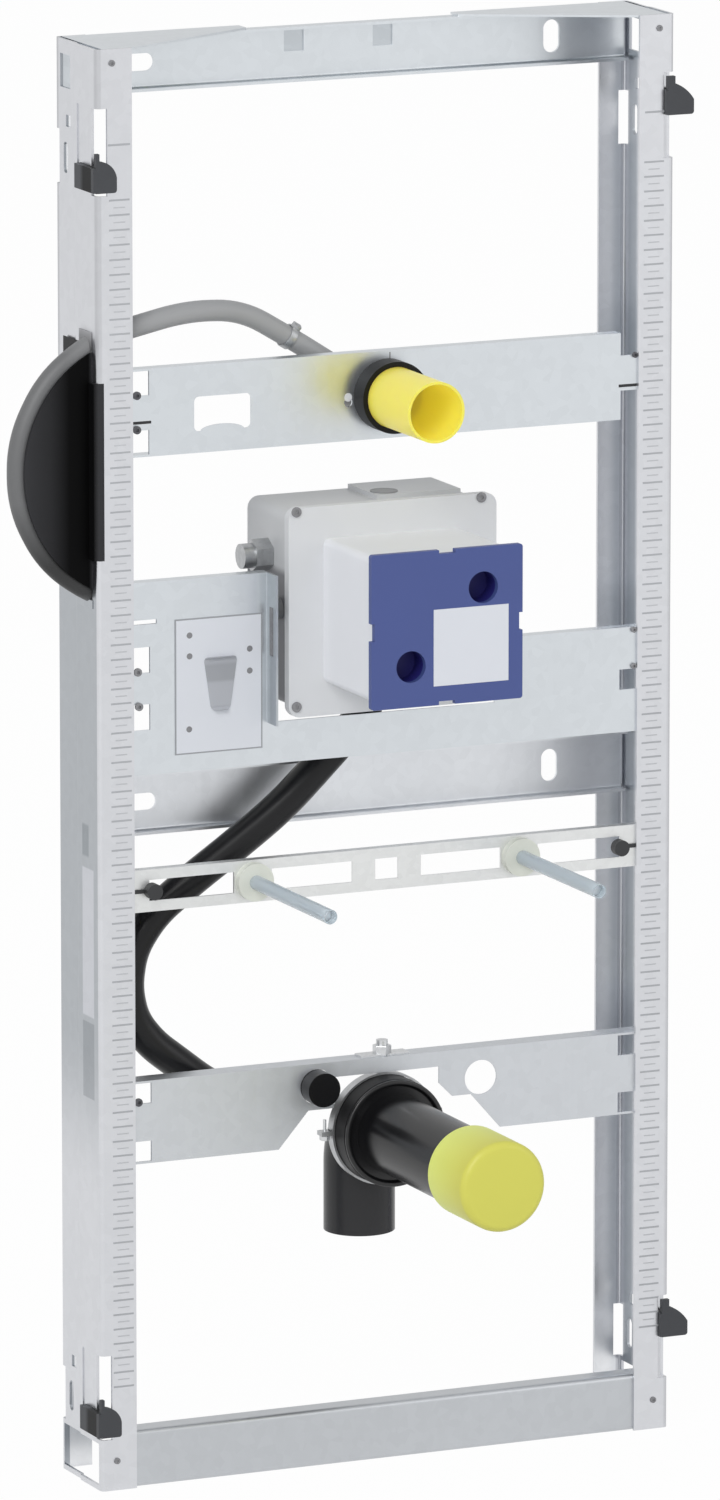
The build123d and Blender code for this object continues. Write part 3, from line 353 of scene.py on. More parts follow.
def finish(name, group, tint, scale, contrast, gloss, bump, **shader_values):
    """A material: one effect group feeds the shader, and plain values sit on its own sockets."""
    material = bpy.data.materials.new(name)
    material.use_nodes = True
    tree = material.node_tree
    shader = tree.nodes["Principled BSDF"]
    place = tree.nodes.new("ShaderNodeTexCoord")
    effect = tree.nodes.new("ShaderNodeGroup")
    effect.node_tree = group
    effect.inputs["Tint"].default_value = (*tint, 1)
    effect.inputs[2].default_value = scale
    effect.inputs["Contrast"].default_value = contrast
    effect.inputs["Gloss"].default_value = gloss
    relief = tree.nodes.new("ShaderNodeBump")
    relief.inputs["Strength"].default_value = bump
    relief.inputs["Distance"].default_value = RELIEF_DISTANCE
    wire(tree, place.outputs["Object"], effect.inputs["Place"])
    wire(tree, effect.outputs["Color"], shader.inputs["Base Color"])
    wire(tree, effect.outputs["Roughness"], shader.inputs["Roughness"])
    wire(tree, effect.outputs["Height"], relief.inputs["Height"])
    wire(tree, relief.outputs["Normal"], shader.inputs["Normal"])
    for socket, value in shader_values.items():
        shader.inputs[socket.replace("_", " ")].default_value = value
    return material


# %% [markdown]
# The record names the finish slot of every solid. One material is made for each slot, with colours
# fitted to the photograph, and a loop hands them out.

# %% Finishes for the solids
STEEL_TINT = (0.69, 0.725, 0.755)
STEEL_GLOSS = 0.31
CRYSTAL_SCALE = 160.0
CRYSTAL_CONTRAST = 0.04
SHEET_RELIEF = 0.03


def steel(name, tint, gloss=STEEL_GLOSS):
    """Galvanised sheet with its own tint and gloss."""
    return finish(name, zinc_sheet, tint, CRYSTAL_SCALE, CRYSTAL_CONTRAST, gloss, SHEET_RELIEF, Metallic=1.0)


finishes = {
    "galvanised_steel": steel("galvanised_steel", STEEL_TINT),
    "zinc_fastener": finish(
        "zinc_fastener", zinc_sheet, (0.66, 0.67, 0.68), 420.0, 0.12, 0.34, 0.08, Metallic=1.0
    ),
    "box_grey": finish("box_grey", moulded_grain, (0.76, 0.77, 0.785), 1400.0, 0.05, 0.42, 0.10),
    "cover_blue": finish("cover_blue", moulded_grain, (0.067, 0.098, 0.298), 1200.0, 0.08, 0.46, 0.10),
    # Painted light: a faint emission makes the site yellow glow, so the mouth of the sleeve looks lit inside.
    "site_yellow": finish(
        "site_yellow", moulded_grain, (0.88, 0.80, 0.125), 1000.0, 0.06, 0.34, 0.06,
        Subsurface_Weight=0.8, Subsurface_Scale=0.006, Subsurface_Radius=(1.0, 0.8, 0.15),
        Emission_Color=(0.90, 0.68, 0.10, 1), Emission_Strength=0.16,
    ),
    "black_pipe": finish(
        "black_pipe", moulded_grain, (0.007, 0.007, 0.008), 900.0, 0.20, 0.24, 0.04, Specular_IOR_Level=0.28
    ),
    "black_rubber": finish(
        "black_rubber", moulded_grain, (0.006, 0.006, 0.007), 700.0, 0.20, 0.45, 0.15, Specular_IOR_Level=0.22
    ),
    "black_hose": finish(
        "black_hose", moulded_grain, (0.008, 0.008, 0.009), 900.0, 0.20, 0.30, 0.06, Specular_IOR_Level=0.30
    ),
    "grey_hose": finish("grey_hose", moulded_grain, (0.375, 0.378, 0.382), 900.0, 0.10, 0.45, 0.10),
    "clip_black": finish("clip_black", moulded_grain, (0.030, 0.031, 0.033), 900.0, 0.20, 0.50, 0.15),
    "clear_tube": finish(
        "clear_tube", moulded_grain, (0.80, 0.88, 0.93), 600.0, 0.04, 0.16, 0.02,
        Transmission_Weight=0.45, IOR=1.35,
    ),
    "cream_nylon": finish("cream_nylon", moulded_grain, (0.80, 0.82, 0.735), 1000.0, 0.06, 0.48, 0.10),
}
for part in frame["record"]["subparts"]:
    solid = nodes[part["node"]]
    solid.data.materials.clear()
    solid.data.materials.append(finishes[part["material_slot"]])
print("finishes", len(finishes))


# %% [markdown]
# Some solids differ from the rest of their slot. Painted shade darkens the bends and the inside of the
# channels of the posts, painted shade and reflection darken the middle of the webs, and painted shade
# darkens the pressed squares of the top rail. The cap fades to a paler yellow at its rim, the rods are
# threaded, and painted shade makes the hose and its guide blackest where they go behind the post. A
# ramp along one axis, a tint inside a box with soft sides, or fine rings along the rod are added to a
# finish for that.

# %% Ramp, patch and thread helpers
def graded(material, axis, start, end, stops):
    """Multiplies a finish by a ramp of tints along one axis of the object, from start to end."""
    tree = material.node_tree
    shader = tree.nodes["Principled BSDF"]
    place = tree.nodes["Texture Coordinate"]
    split_place = tree.nodes.new("ShaderNodeSeparateXYZ")
    span = tree.nodes.new("ShaderNodeMapRange")
    span.inputs["From Min"].default_value = start
    span.inputs["From Max"].default_value = end
    ramp = tree.nodes.new("ShaderNodeValToRGB")
    for where, tint in stops[2:]:
        ramp.color_ramp.elements.new(where)
    for element, (where, tint) in zip(ramp.color_ramp.elements, sorted(stops)):
        element.position = where
        element.color = (*tint, 1)
    wire(tree, place.outputs["Object"], split_place.inputs[0])
    wire(tree, split_place.outputs[axis], span.inputs["Value"])
    wire(tree, span.outputs[0], ramp.inputs[0])
    blend = tree.nodes.new("ShaderNodeVectorMath")
    blend.operation = "MULTIPLY"
    wire(tree, shader.inputs["Base Color"].links[0].from_socket, blend.inputs[0])
    wire(tree, ramp.outputs["Color"], blend.inputs[1])
    wire(tree, blend.outputs[0], shader.inputs["Base Color"])
    return material


def vector_node(tree, operation, first, second):
    """A Vector Math node on a socket and a plain vector."""
    made = tree.nodes.new("ShaderNodeVectorMath")
    made.operation = operation
    wire(tree, first, made.inputs[0])
    made.inputs[1].default_value = second
    return made.outputs[0]


def patched(material, low, high, tint, soft):
    """Multiplies a finish by a tint inside a box in millimetres, fading by soft near each side."""
    tree = material.node_tree
    shader = tree.nodes["Principled BSDF"]
    low = Vector(low) * MM
    high = Vector(high) * MM
    place = tree.nodes["Texture Coordinate"].outputs["Object"]
    offset = vector_node(tree, "SUBTRACT", place, (low + high) / 2)
    apart = vector_node(tree, "ABSOLUTE", offset, (0, 0, 0))
    sides = tree.nodes.new("ShaderNodeSeparateXYZ")
    wire(tree, vector_node(tree, "DIVIDE", apart, (high - low) / 2), sides.inputs[0])
    windows = []
    for axis, fade in zip("XYZ", soft):
        window = tree.nodes.new("ShaderNodeMapRange")
        window.interpolation_type = "SMOOTHSTEP"
        window.inputs["From Min"].default_value = 1 - fade
        window.inputs["From Max"].default_value = 1
        window.inputs["To Min"].default_value = 1
        window.inputs["To Max"].default_value = 0
        wire(tree, sides.outputs[axis], window.inputs["Value"])
        windows.append(window.outputs[0])
    mask = math_node(tree, "MULTIPLY", math_node(tree, "MULTIPLY", windows[0], windows[1]), windows[2])
    blend = tree.nodes.new("ShaderNodeMix")
    blend.data_type = "RGBA"
    blend.blend_type = "MULTIPLY"
    wire(tree, mask, blend.inputs[0])
    wire(tree, shader.inputs["Base Color"].links[0].from_socket, blend.inputs[6])
    blend.inputs[7].default_value = (*tint, 1)
    wire(tree, blend.outputs[2], shader.inputs["Base Color"])
    return material


WAVE_AT_SCALE_ONE = 0.314
THREAD_RELIEF = 0.8


def threaded(material, pitch, depth):
    """Adds fine rings along Y to the relief of a finish."""
    tree = material.node_tree
    relief = tree.nodes["Bump"]
    rings = tree.nodes.new("ShaderNodeTexWave")
    rings.bands_direction = "Y"
    rings.inputs["Scale"].default_value = WAVE_AT_SCALE_ONE / pitch
    wire(tree, tree.nodes["Texture Coordinate"].outputs["Object"], rings.inputs["Vector"])
    wire(tree, rings.outputs["Fac"], relief.inputs["Height"])
    relief.inputs["Strength"].default_value = THREAD_RELIEF
    relief.inputs["Distance"].default_value = depth
    return material


def grey(value):
    """A neutral tint."""
    return (value, value, value)


# %% Finishes of the posts
POST_TINT = (0.70, 0.71, 0.738)
CHANNEL_SHADE_TINT = (0.61, 0.64, 0.66)
RETURN_HIGHLIGHT_TINT = (1.28, 1.28, 1.26)
WEB_SHADE_TINT = (0.65, 0.675, 0.685)
PALE_PANEL_TINT = (1.36, 1.32, 1.33)
DARK_PANEL_TINT = (0.74, 0.75, 0.76)
DARK_SPOT_TINT = (0.70, 0.72, 0.73)
BEND_SHADE_TINT = (0.80, 0.80, 0.80)
SHADE_TINT = (0.22, 0.22, 0.23)
CORNER_SHADE_TINT = (0.82, 0.83, 0.85)
FOOT = -5
TOP = 990
SHARP = (0.02, 0.02, 0.02)
MIDDLE_FADE = (0.02, 0.02, 0.45)
PANEL_FADE = (0.02, 0.10, 0.03)

# The boxes are in millimetres. In order: painted shade and reflection in the middle of the web, a lighter
# and a darker band and a darker spot on it, painted shade inside the channel, a painted highlight on its
# return, painted shade along the front and rear bends, and painted shade at the top of the hose slot.
left_steel = steel("left_steel", POST_TINT)
patched(left_steel, (-214, -7.5, 200), (-210.9, 63, 720), WEB_SHADE_TINT, MIDDLE_FADE)
patched(left_steel, (-214, -1, 325), (-210.9, 19, 428), PALE_PANEL_TINT, PANEL_FADE)
patched(left_steel, (-214, -1, 269), (-210.9, 19, 322), DARK_PANEL_TINT, PANEL_FADE)
patched(left_steel, (-214, 7, 434), (-210.9, 19, 458), DARK_SPOT_TINT, (0.02, 0.20, 0.20))
patched(left_steel, (-210.8, 42, FOOT), (-206, 61.6, TOP), CHANNEL_SHADE_TINT, (0.04, 0.10, 0.02))
patched(left_steel, (-206, 59.7, FOOT), (-189, 60.4, TOP), RETURN_HIGHLIGHT_TINT, SHARP)
patched(left_steel, (-213.2, -10.6, 700), (-208.2, -5.8, TOP), BEND_SHADE_TINT, (0.5, 0.5, 0.05))
patched(left_steel, (-214, 55, 700), (-209, 63, TOP), BEND_SHADE_TINT, (0.02, 0.7, 0.05))
patched(left_steel, (-214, -14, 770), (-210.9, 24, 798), SHADE_TINT, (0.02, 0.95, 0.95))

# In order: painted shade in the middle of the web, painted shade inside the channel, a painted highlight on
# its return, painted shade along the front bend and painted shade in the rear corner.
right_steel = steel("right_steel", POST_TINT)
patched(right_steel, (210.9, -7.5, 200), (214, 63, 720), WEB_SHADE_TINT, MIDDLE_FADE)
patched(right_steel, (206, 38, FOOT), (210.8, 57, TOP), CHANNEL_SHADE_TINT, (0.04, 0.60, 0.02))
patched(right_steel, (189, 59.7, FOOT), (206, 60.4, TOP), RETURN_HIGHLIGHT_TINT, SHARP)
patched(right_steel, (208.2, -10.6, FOOT), (213.2, -5.8, TOP), BEND_SHADE_TINT, (0.5, 0.5, 0.02))
patched(right_steel, (197, 44, FOOT), (219, 76, TOP), CORNER_SHADE_TINT, (0.95, 0.95, 0.02))
print("post finishes", left_steel.name, right_steel.name)

# %% Finishes of the rails and plates
# Painted shade: these tints darken the pressed squares of the top rail and the folded lip of the valve plate.
DIMPLE_SHADE_TINT = (0.80, 0.81, 0.82)
LIP_SHADE_TINT = (0.72, 0.73, 0.74)
DIMPLE_LOW = 963.5
DIMPLE_HIGH = 978

rail_steel = steel("rail_steel", STEEL_TINT)
patched(rail_steel, (-46, 40, DIMPLE_LOW), (-31.5, 70, DIMPLE_HIGH), DIMPLE_SHADE_TINT, grey(0.05))
patched(rail_steel, (19.5, 40, DIMPLE_LOW), (34, 70, DIMPLE_HIGH), DIMPLE_SHADE_TINT, grey(0.05))
base_steel = steel("base_steel", (0.56, 0.58, 0.605), 0.36)
bracket_steel = steel("bracket_steel", (0.63, 0.652, 0.68), 0.46)
valve_steel = steel("valve_steel", STEEL_TINT)
patched(valve_steel, (-89, -23.8, 519), (-86.8, -8.5, 623), LIP_SHADE_TINT, (0.02, 0.05, 0.02))
back_steel = steel("back_steel", (0.80, 0.82, 0.85), 0.42)
print("rail and plate finishes", 5)

# %% Finishes of single solids
bar_white = finish("bar_white", zinc_sheet, (0.78, 0.79, 0.785), 220.0, 0.05, 0.40, 0.03, Metallic=0.85)
rod_zinc = finish("rod_zinc", zinc_sheet, (0.80, 0.82, 0.84), 420.0, 0.10, 0.36, 0.08, Metallic=0.8)
THREAD_PITCH = 1.25 * MM
THREAD_DEPTH = 0.3 * MM
threaded(rod_zinc, THREAD_PITCH, THREAD_DEPTH)
dull_zinc = finish("dull_zinc", zinc_sheet, (0.50, 0.51, 0.52), 420.0, 0.12, 0.38, 0.08, Metallic=1.0)
# Painted light and shade: the neck is a lighter copy of the box grey where light falls on it, and the body a
# darker copy whose left wall also gets painted shade.
lit_neck_grey = finish("lit_neck_grey", moulded_grain, (0.90, 0.91, 0.94), 1400.0, 0.04, 0.42, 0.10)
shaded_body_grey = finish("shaded_body_grey", moulded_grain, (0.67, 0.68, 0.69), 1400.0, 0.05, 0.45, 0.10)
WALL_SHADE_TINT = (0.26, 0.26, 0.28)
patched(shaded_body_grey, (-90, -30, 480), (-70, 70, 624), WALL_SHADE_TINT, (0.02, 0.02, 0.10))
elbow_black = finish(
    "elbow_black", moulded_grain, (0.024, 0.024, 0.026), 900.0, 0.20, 0.24, 0.04, Specular_IOR_Level=0.32
)
cap_yellow = finish("cap_yellow", moulded_grain, (0.76, 0.735, 0.12), 1000.0, 0.06, 0.40, 0.06)
cap_low, cap_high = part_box("drain_cap")
CAP_STOPS = [(0.0, grey(1)), (1.0, (1.16, 1.30, 1.75)), (0.10, grey(1))]
graded(cap_yellow, "Y", cap_low.y, cap_high.y, CAP_STOPS)
# Painted reflection and shade: the ramp along X darkens the face of the guide to near black towards the post.
guide_black = finish(
    "guide_black", moulded_grain, (0.045, 0.045, 0.048), 900.0, 0.15, 0.5, 0.10, Specular_IOR_Level=0.06
)
guide_low, guide_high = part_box("hose_guide")
GUIDE_SHADE_STOPS = [
    (0.0, grey(1)),
    (1.0, grey(1)),
    (0.35, grey(0.6)),
    (0.60, grey(0.05)),
    (0.86, grey(0.03)),
    (0.93, grey(1)),
]
graded(guide_black, "X", guide_low.x, guide_high.x, GUIDE_SHADE_STOPS)
# Painted shade: the grey hose darkens outside the post and in a low band where it goes behind the post.
HOSE_OUTSIDE_SHADE_STOPS = [(0.0, grey(0.43)), (1.0, grey(1))]
graded(finishes["grey_hose"], "X", -230 * MM, -190 * MM, HOSE_OUTSIDE_SHADE_STOPS)
HOSE_LOW_SHADE_STOPS = [(0.0, grey(1)), (1.0, grey(1)), (0.20, grey(0.14)), (0.45, grey(0.14))]
graded(finishes["grey_hose"], "Z", 600 * MM, 680 * MM, HOSE_LOW_SHADE_STOPS)
clip_grey = finish(
    "clip_grey", moulded_grain, (0.088, 0.091, 0.098), 900.0, 0.15, 0.5, 0.12, Specular_IOR_Level=0.15
)
CLIP_STOPS = [
    (0.0, grey(0.9)),
    (1.0, grey(1)),
    (0.16, grey(0.9)),
    (0.20, grey(0.08)),
    (0.55, grey(0.08)),
    (0.72, grey(1)),
]
graded(clip_grey, "Y", -16 * MM, 20 * MM, CLIP_STOPS)
own_finish = {
    "left_post": left_steel,
    "right_post": right_steel,
    "top_rail": rail_steel,
    "bottom_rail": base_steel,
    "back_rail": back_steel,
    "drain_bracket": bracket_steel,
    "valve_plate": valve_steel,
    "mounting_bar": bar_white,
    "left_rod": rod_zinc,
    "right_rod": rod_zinc,
    "inlet_fitting": dull_zinc,
    "drain_clamp": dull_zinc,
    "box_neck": lit_neck_grey,
    "control_box": shaded_body_grey,
    "drain_elbow": elbow_black,
    "drain_cap": cap_yellow,
    "hose_guide": guide_black,
    "lower_left_clip": clip_grey,
    "lower_right_clip": clip_grey,
    "upper_left_clip": clip_grey,
    "upper_right_clip": clip_grey,
}
for node, material in own_finish.items():
    nodes[node].data.materials.clear()
    nodes[node].data.materials.append(material)
print("single finishes", len(own_finish), "guide from", round(guide_low.x, 3), "to", round(guide_high.x, 3))

# %% [markdown]
# ## Working helpers
# Every new piece is modelled by hand with operators, then settled: its place goes into its mesh, it
# rides on the frame and it names the slot that it takes its finish from.

# %% Modelling helpers
FACING = 0.9
SMOOTH_ANGLE = radians(35)


def start_fresh():
    if bpy.context.object and bpy.context.object.mode != "OBJECT":
        bpy.ops.object.mode_set(mode="OBJECT")
    bpy.ops.object.select_all(action="DESELECT")


def only(piece):
    start_fresh()
    piece.select_set(True)
    bpy.context.view_layer.objects.active = piece


def pick_faces(piece, wanted):
    """In edit mode, selects the faces for which wanted(face) is true."""
    bpy.ops.mesh.select_mode(type="FACE")
    mesh = bmesh.from_edit_mesh(piece.data)
    for face in mesh.faces:
        face.select_set(wanted(face))
    bmesh.update_edit_mesh(piece.data)


def faces_front(face):
    return face.normal.y < -FACING


def inset_faces(piece, wanted, thickness, depth):
    """Insets the wanted faces of the active piece and raises what is inside by depth."""
    bpy.ops.object.mode_set(mode="EDIT")
    pick_faces(piece, wanted)
    bpy.ops.mesh.inset(thickness=thickness, depth=depth)
    bpy.ops.object.mode_set(mode="OBJECT")


def block_between(name, low, high):
    """A block primitive between two corners, in metres, with its scale applied."""
    start_fresh()
    low, high = Vector(low), Vector(high)
    bpy.ops.mesh.primitive_cube_add(size=1.0, location=(low + high) / 2)
    piece = bpy.context.object
    piece.name = name
    piece.data.name = name
    piece.scale = high - low
    bpy.ops.object.transform_apply(location=True, rotation=True, scale=True)
    return piece


def disc_facing_front(name, x, y_face, z, radius, height, sides):
    """A cylinder primitive whose axis runs along Y and whose front end is at y_face."""
    start_fresh()
    bpy.ops.mesh.primitive_cylinder_add(
        vertices=sides,
        radius=radius,
        depth=height,
        location=(x, y_face + height / 2, z),
        rotation=(radians(90), 0, 0),
    )
    piece = bpy.context.object
    piece.name = name
    piece.data.name = name
    bpy.ops.object.transform_apply(location=True, rotation=True, scale=True)
    return piece


def settle(piece, slot, material=None):
    only(piece)
    bpy.ops.object.transform_apply(location=True, rotation=True, scale=True)
    if material:
        piece.data.materials.clear()
        piece.data.materials.append(material)
    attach(piece, "root")
    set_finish(piece, slot)
    return piece


def copied(piece, name, shift):
    """A copy with its own mesh, moved by a shift that goes into the mesh."""
    twin = bpy.data.objects.new(name, piece.data.copy())
    bpy.context.scene.collection.objects.link(twin)
    twin.data.transform(Matrix.Translation(Vector(shift)))
    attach(twin, "root")
    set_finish(twin, piece["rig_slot"])
    return twin


def apply_modifier(piece, kind, **values):
    only(piece)
    made = piece.modifiers.new(kind.lower(), kind)
    for name, value in values.items():
        setattr(made, name, value)
    bpy.ops.object.modifier_apply(modifier=made.name)


# %% [markdown]
# ## Height scale
# Both front flanges carry a printed scale: a line every 10 mm and a shorter, fainter one half way,
# centred under it, and one longer mark near the top.
# One thin line is modelled and an array repeats it up the post, which keeps the spacing exact.

# %% Scale lines
FRONT_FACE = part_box("left_post")[0].y
LINE_PITCH = 10 * MM
LONG_LINE = 14.8 * MM
SHORT_LINE = 8.5 * MM
LINE_WIDTH = 1.25 * MM
FAINT_WIDTH = 0.8 * MM
INK = 0.08 * MM
LINE_LOW = 72 * MM
LINE_COUNT = 82

scale_ink = finish("scale_ink", moulded_grain, (0.46, 0.47, 0.49), 900.0, 0.15, 0.5, 0.05)
faint_ink = finish("faint_ink", moulded_grain, (0.56, 0.57, 0.59), 900.0, 0.15, 0.5, 0.05)


def printed_lines(name, x_range, z_first, width, count, material):
    low = (x_range[0], FRONT_FACE - INK, z_first - width / 2)
    high = (x_range[1], FRONT_FACE, z_first + width / 2)
    lines = block_between(name, low, high)
    inset_faces(lines, faces_front, INK, INK / 2)
    apply_modifier(
        lines,
        "ARRAY",
        use_relative_offset=False,
        use_constant_offset=True,
        constant_offset_displace=(0, 0, LINE_PITCH),
        count=count,
    )
    return settle(lines, "galvanised_steel", material)


LEFT_INNER = -188.5 * MM
RIGHT_INNER = 190.0 * MM
RIGHT_LIFT = 1.0 * MM
HALF_INSET = (LONG_LINE - SHORT_LINE) / 2
printed_lines("left_scale", (LEFT_INNER - LONG_LINE, LEFT_INNER), LINE_LOW, LINE_WIDTH, LINE_COUNT, scale_ink)
printed_lines(
    "left_half_scale",
    (LEFT_INNER - HALF_INSET - SHORT_LINE, LEFT_INNER - HALF_INSET),
    LINE_LOW + LINE_PITCH / 2,
    FAINT_WIDTH,
    LINE_COUNT - 1,
    faint_ink,
)
printed_lines(
    "right_scale",
    (RIGHT_INNER, RIGHT_INNER + LONG_LINE),
    LINE_LOW + RIGHT_LIFT,
    LINE_WIDTH,
    LINE_COUNT,
    scale_ink,
)
printed_lines(
    "right_half_scale",
    (RIGHT_INNER + HALF_INSET, RIGHT_INNER + HALF_INSET + SHORT_LINE),
    LINE_LOW + RIGHT_LIFT + LINE_PITCH / 2,
    FAINT_WIDTH,
    LINE_COUNT - 1,
    faint_ink,
)
DATUM_WIDTH = 1.4 * MM
printed_lines("left_datum", (-204 * MM, -188 * MM), 919 * MM, DATUM_WIDTH, 1, scale_ink)
printed_lines("right_datum", (190.5 * MM, 206.5 * MM), 917 * MM, DATUM_WIDTH, 1, scale_ink)
print("scale lines", 4 * LINE_COUNT)

# %% [markdown]
# ## Screws and rivets
# Self-tapping screws hold the cross plates in the flanges, and four screws hold the lid of the box.
# A short cylinder gets a rounded rim and a sunken drive, and copies go to the other places.

# %% Screws
plate_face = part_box("flush_plate")[0].y
lid_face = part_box("box_lid")[0].y
dark_screw = finish("dark_screw", zinc_sheet, (0.10, 0.10, 0.11), 500.0, 0.2, 0.42, 0.1, Metallic=0.6)
grey_screw = finish("grey_screw", zinc_sheet, (0.26, 0.26, 0.27), 500.0, 0.2, 0.45, 0.1, Metallic=0.5)


RIM_INSET = 0.22
RIM_RISE = 0.18
DRIVE_INSET = 0.38
DRIVE_DEPTH = 0.6


def screw_head(name, x, y_seat, z, radius, height, material):
    """A low screw head on a face that looks to the front, with a bevelled rim and a sunken drive."""
    head = disc_facing_front(name, x, y_seat - height, z, radius, height, 24)
    bpy.ops.object.mode_set(mode="EDIT")
    pick_faces(head, faces_front)
    bpy.ops.mesh.inset(thickness=RIM_INSET * radius, depth=RIM_RISE * height)
    bpy.ops.mesh.inset(thickness=DRIVE_INSET * radius)
    bpy.ops.mesh.extrude_region_move(TRANSFORM_OT_translate={"value": (0, DRIVE_DEPTH * height, 0)})
    bpy.ops.object.mode_set(mode="OBJECT")
    bpy.ops.object.shade_smooth_by_angle(angle=SMOOTH_ANGLE)
    return settle(head, "zinc_fastener", material)


PLATE_SCREW = 2.8 * MM
SMALL_SCREW = 2.0 * MM
PLATE_SCREW_RISE = 1.6 * MM
LID_SCREW = 3.5 * MM
LID_SCREW_RISE = 1.0 * MM
RIVET = 2.2 * MM
RIVET_RISE = 0.8 * MM
LEFT_SCREW_X = -183.2 * MM
RIGHT_SCREW_X = 184.4 * MM
FLUSH_SCREW_Z = 749.4 * MM
FLUSH_RIGHT_Z = 751.5 * MM
VALVE_SCREW_Z = 562 * MM
LID_SCREW_X = -71.3 * MM
LID_SCREW_Z = 663.9 * MM
RIVET_Z = 973.7 * MM


def plate_screw(name, x, z, radius, material):
    return screw_head(name, x, plate_face, z, radius, PLATE_SCREW_RISE, material)


flush_screw = plate_screw("flush_screw_upper", LEFT_SCREW_X, FLUSH_SCREW_Z, PLATE_SCREW, dark_screw)
copied(flush_screw, "flush_screw_lower", (0, 0, -23.2 * MM))
copied(flush_screw, "bracket_screw", (-0.6 * MM, 0, -482.2 * MM))
plate_screw("flush_screw_right", RIGHT_SCREW_X, FLUSH_RIGHT_Z, SMALL_SCREW, dark_screw)
valve_right = plate_screw("valve_screw_right_upper", RIGHT_SCREW_X, VALVE_SCREW_Z, SMALL_SCREW, grey_screw)
copied(valve_right, "valve_screw_right_lower", (0, 0, -25.1 * MM))
valve_screw = plate_screw("valve_screw_upper", LEFT_SCREW_X, VALVE_SCREW_Z, PLATE_SCREW, grey_screw)
copied(valve_screw, "valve_screw_lower", (0.8 * MM, 0, -23.6 * MM))
lid_screw = screw_head(
    "lid_screw_high_left", LID_SCREW_X, lid_face, LID_SCREW_Z, LID_SCREW, LID_SCREW_RISE, grey_screw
)
LID_SCREW_SPAN = 136.6 * MM
LID_SCREW_DROP = 133 * MM
copied(lid_screw, "lid_screw_high_right", (LID_SCREW_SPAN, 0, 0))
copied(lid_screw, "lid_screw_low_left", (0, 0, -LID_SCREW_DROP))
copied(lid_screw, "lid_screw_low_right", (LID_SCREW_SPAN, 0, -LID_SCREW_DROP))
RIVET_X = 201 * MM
rivet = screw_head("top_left_rivet", -RIVET_X, FRONT_FACE, RIVET_Z, RIVET, RIVET_RISE, grey_screw)
copied(rivet, "top_right_rivet", (2 * RIVET_X, 0, 0))
FOOT_RIVET_DROP = 953.2 * MM
copied(rivet, "foot_left_rivet", (0, 0, -FOOT_RIVET_DROP))
copied(rivet, "foot_right_rivet", (2 * RIVET_X, 0, -FOOT_RIVET_DROP))
print("screws and rivets", 16)

# %% [markdown]
# ## Dark slits, seam and hose grommet
# Each end of the flush plate has a narrow slit that reads as a dark line, and a short seam stands
# over the seal. They are thin strips with a pressed edge: the slits lie just under the face of the
# plate and are painted shade, dark strips where the open slits are in shade, and the seam stands just
# proud of it. The lip of the valve plate has a dark strip too, painted shade for a slot. At the slot
# where the hose goes into the left post, a dark tab and a grommet sit at the top, and a steel sill
# hides the lower end. The tab is also painted shade for the inside of the slot, and the grommet gets
# painted shade towards its bottom.

# %% Slits and seam
slit_shade_black = finish("slit_shade_black", moulded_grain, (0.02, 0.02, 0.022), 700.0, 0.2, 0.6, 0.1)
SLIT_Z = (729.9 * MM, 731.6 * MM)
SLIT_OUTER = 186.4 * MM
SLIT_INNER = 172.7 * MM
SEAM_X = (1.8 * MM, 2.6 * MM)
SEAM_Z = (757.5 * MM, 766 * MM)
STRIP_EDGE = 0.15 * MM
PRESSED = 0.05 * MM


def strip(name, x_range, z_range, y_range, material, slot):
    """A thin strip with an inset front."""
    piece = block_between(name, (x_range[0], y_range[0], z_range[0]), (x_range[1], y_range[1], z_range[1]))
    inset_faces(piece, faces_front, STRIP_EDGE, PRESSED)
    return settle(piece, slot, material)


# The dark strips in the slits are painted shade.
slit_depth = (plate_face + 0.1 * MM, plate_face + 1.4 * MM)
strip("left_slit", (-SLIT_OUTER, -SLIT_INNER), SLIT_Z, slit_depth, slit_shade_black, "clip_black")
strip("right_slit", (SLIT_INNER, SLIT_OUTER), SLIT_Z, slit_depth, slit_shade_black, "clip_black")
seam_depth = (plate_face - 0.1 * MM, plate_face)
strip("plate_seam", SEAM_X, SEAM_Z, seam_depth, grey_screw, "zinc_fastener")
pin_white = finish("pin_white", moulded_grain, (0.88, 0.89, 0.90), 1200.0, 0.05, 0.4, 0.05)
PIN_X = -28.5 * MM
PIN_Z = 737.25 * MM
PIN = 2.9 * MM
PIN_DEPTH = 1.4 * MM
PIN_RIM = 0.6 * MM
PIN_CROWN = 0.1 * MM
pin = disc_facing_front("flush_pin", PIN_X, plate_face, PIN_Z, PIN, PIN_DEPTH, 24)
inset_faces(pin, faces_front, PIN_RIM, PIN_CROWN)
settle(pin, "box_grey", pin_white)
print("strips 3, pin 1")

# %% Lip slit, tab and grommet
LIP_FACE = -88.55 * MM
LIP_SLIT_RISE = 0.2 * MM
LIP_SLIT_EDGE = 0.3 * MM
# The dark strip on the lip is painted shade for a slot.
lip_slit = block_between(
    "valve_lip_slit", (LIP_FACE - LIP_SLIT_RISE, -18.5 * MM, 567 * MM), (LIP_FACE, -13 * MM, 600 * MM)
)
inset_faces(lip_slit, lambda face: face.normal.x < -FACING, LIP_SLIT_EDGE, PRESSED)
settle(lip_slit, "clip_black", grey_screw)

WEB_FACE = -212.5 * MM
TAB_FACE = WEB_FACE - 0.6 * MM
TAB_ROUND = 0.25 * MM
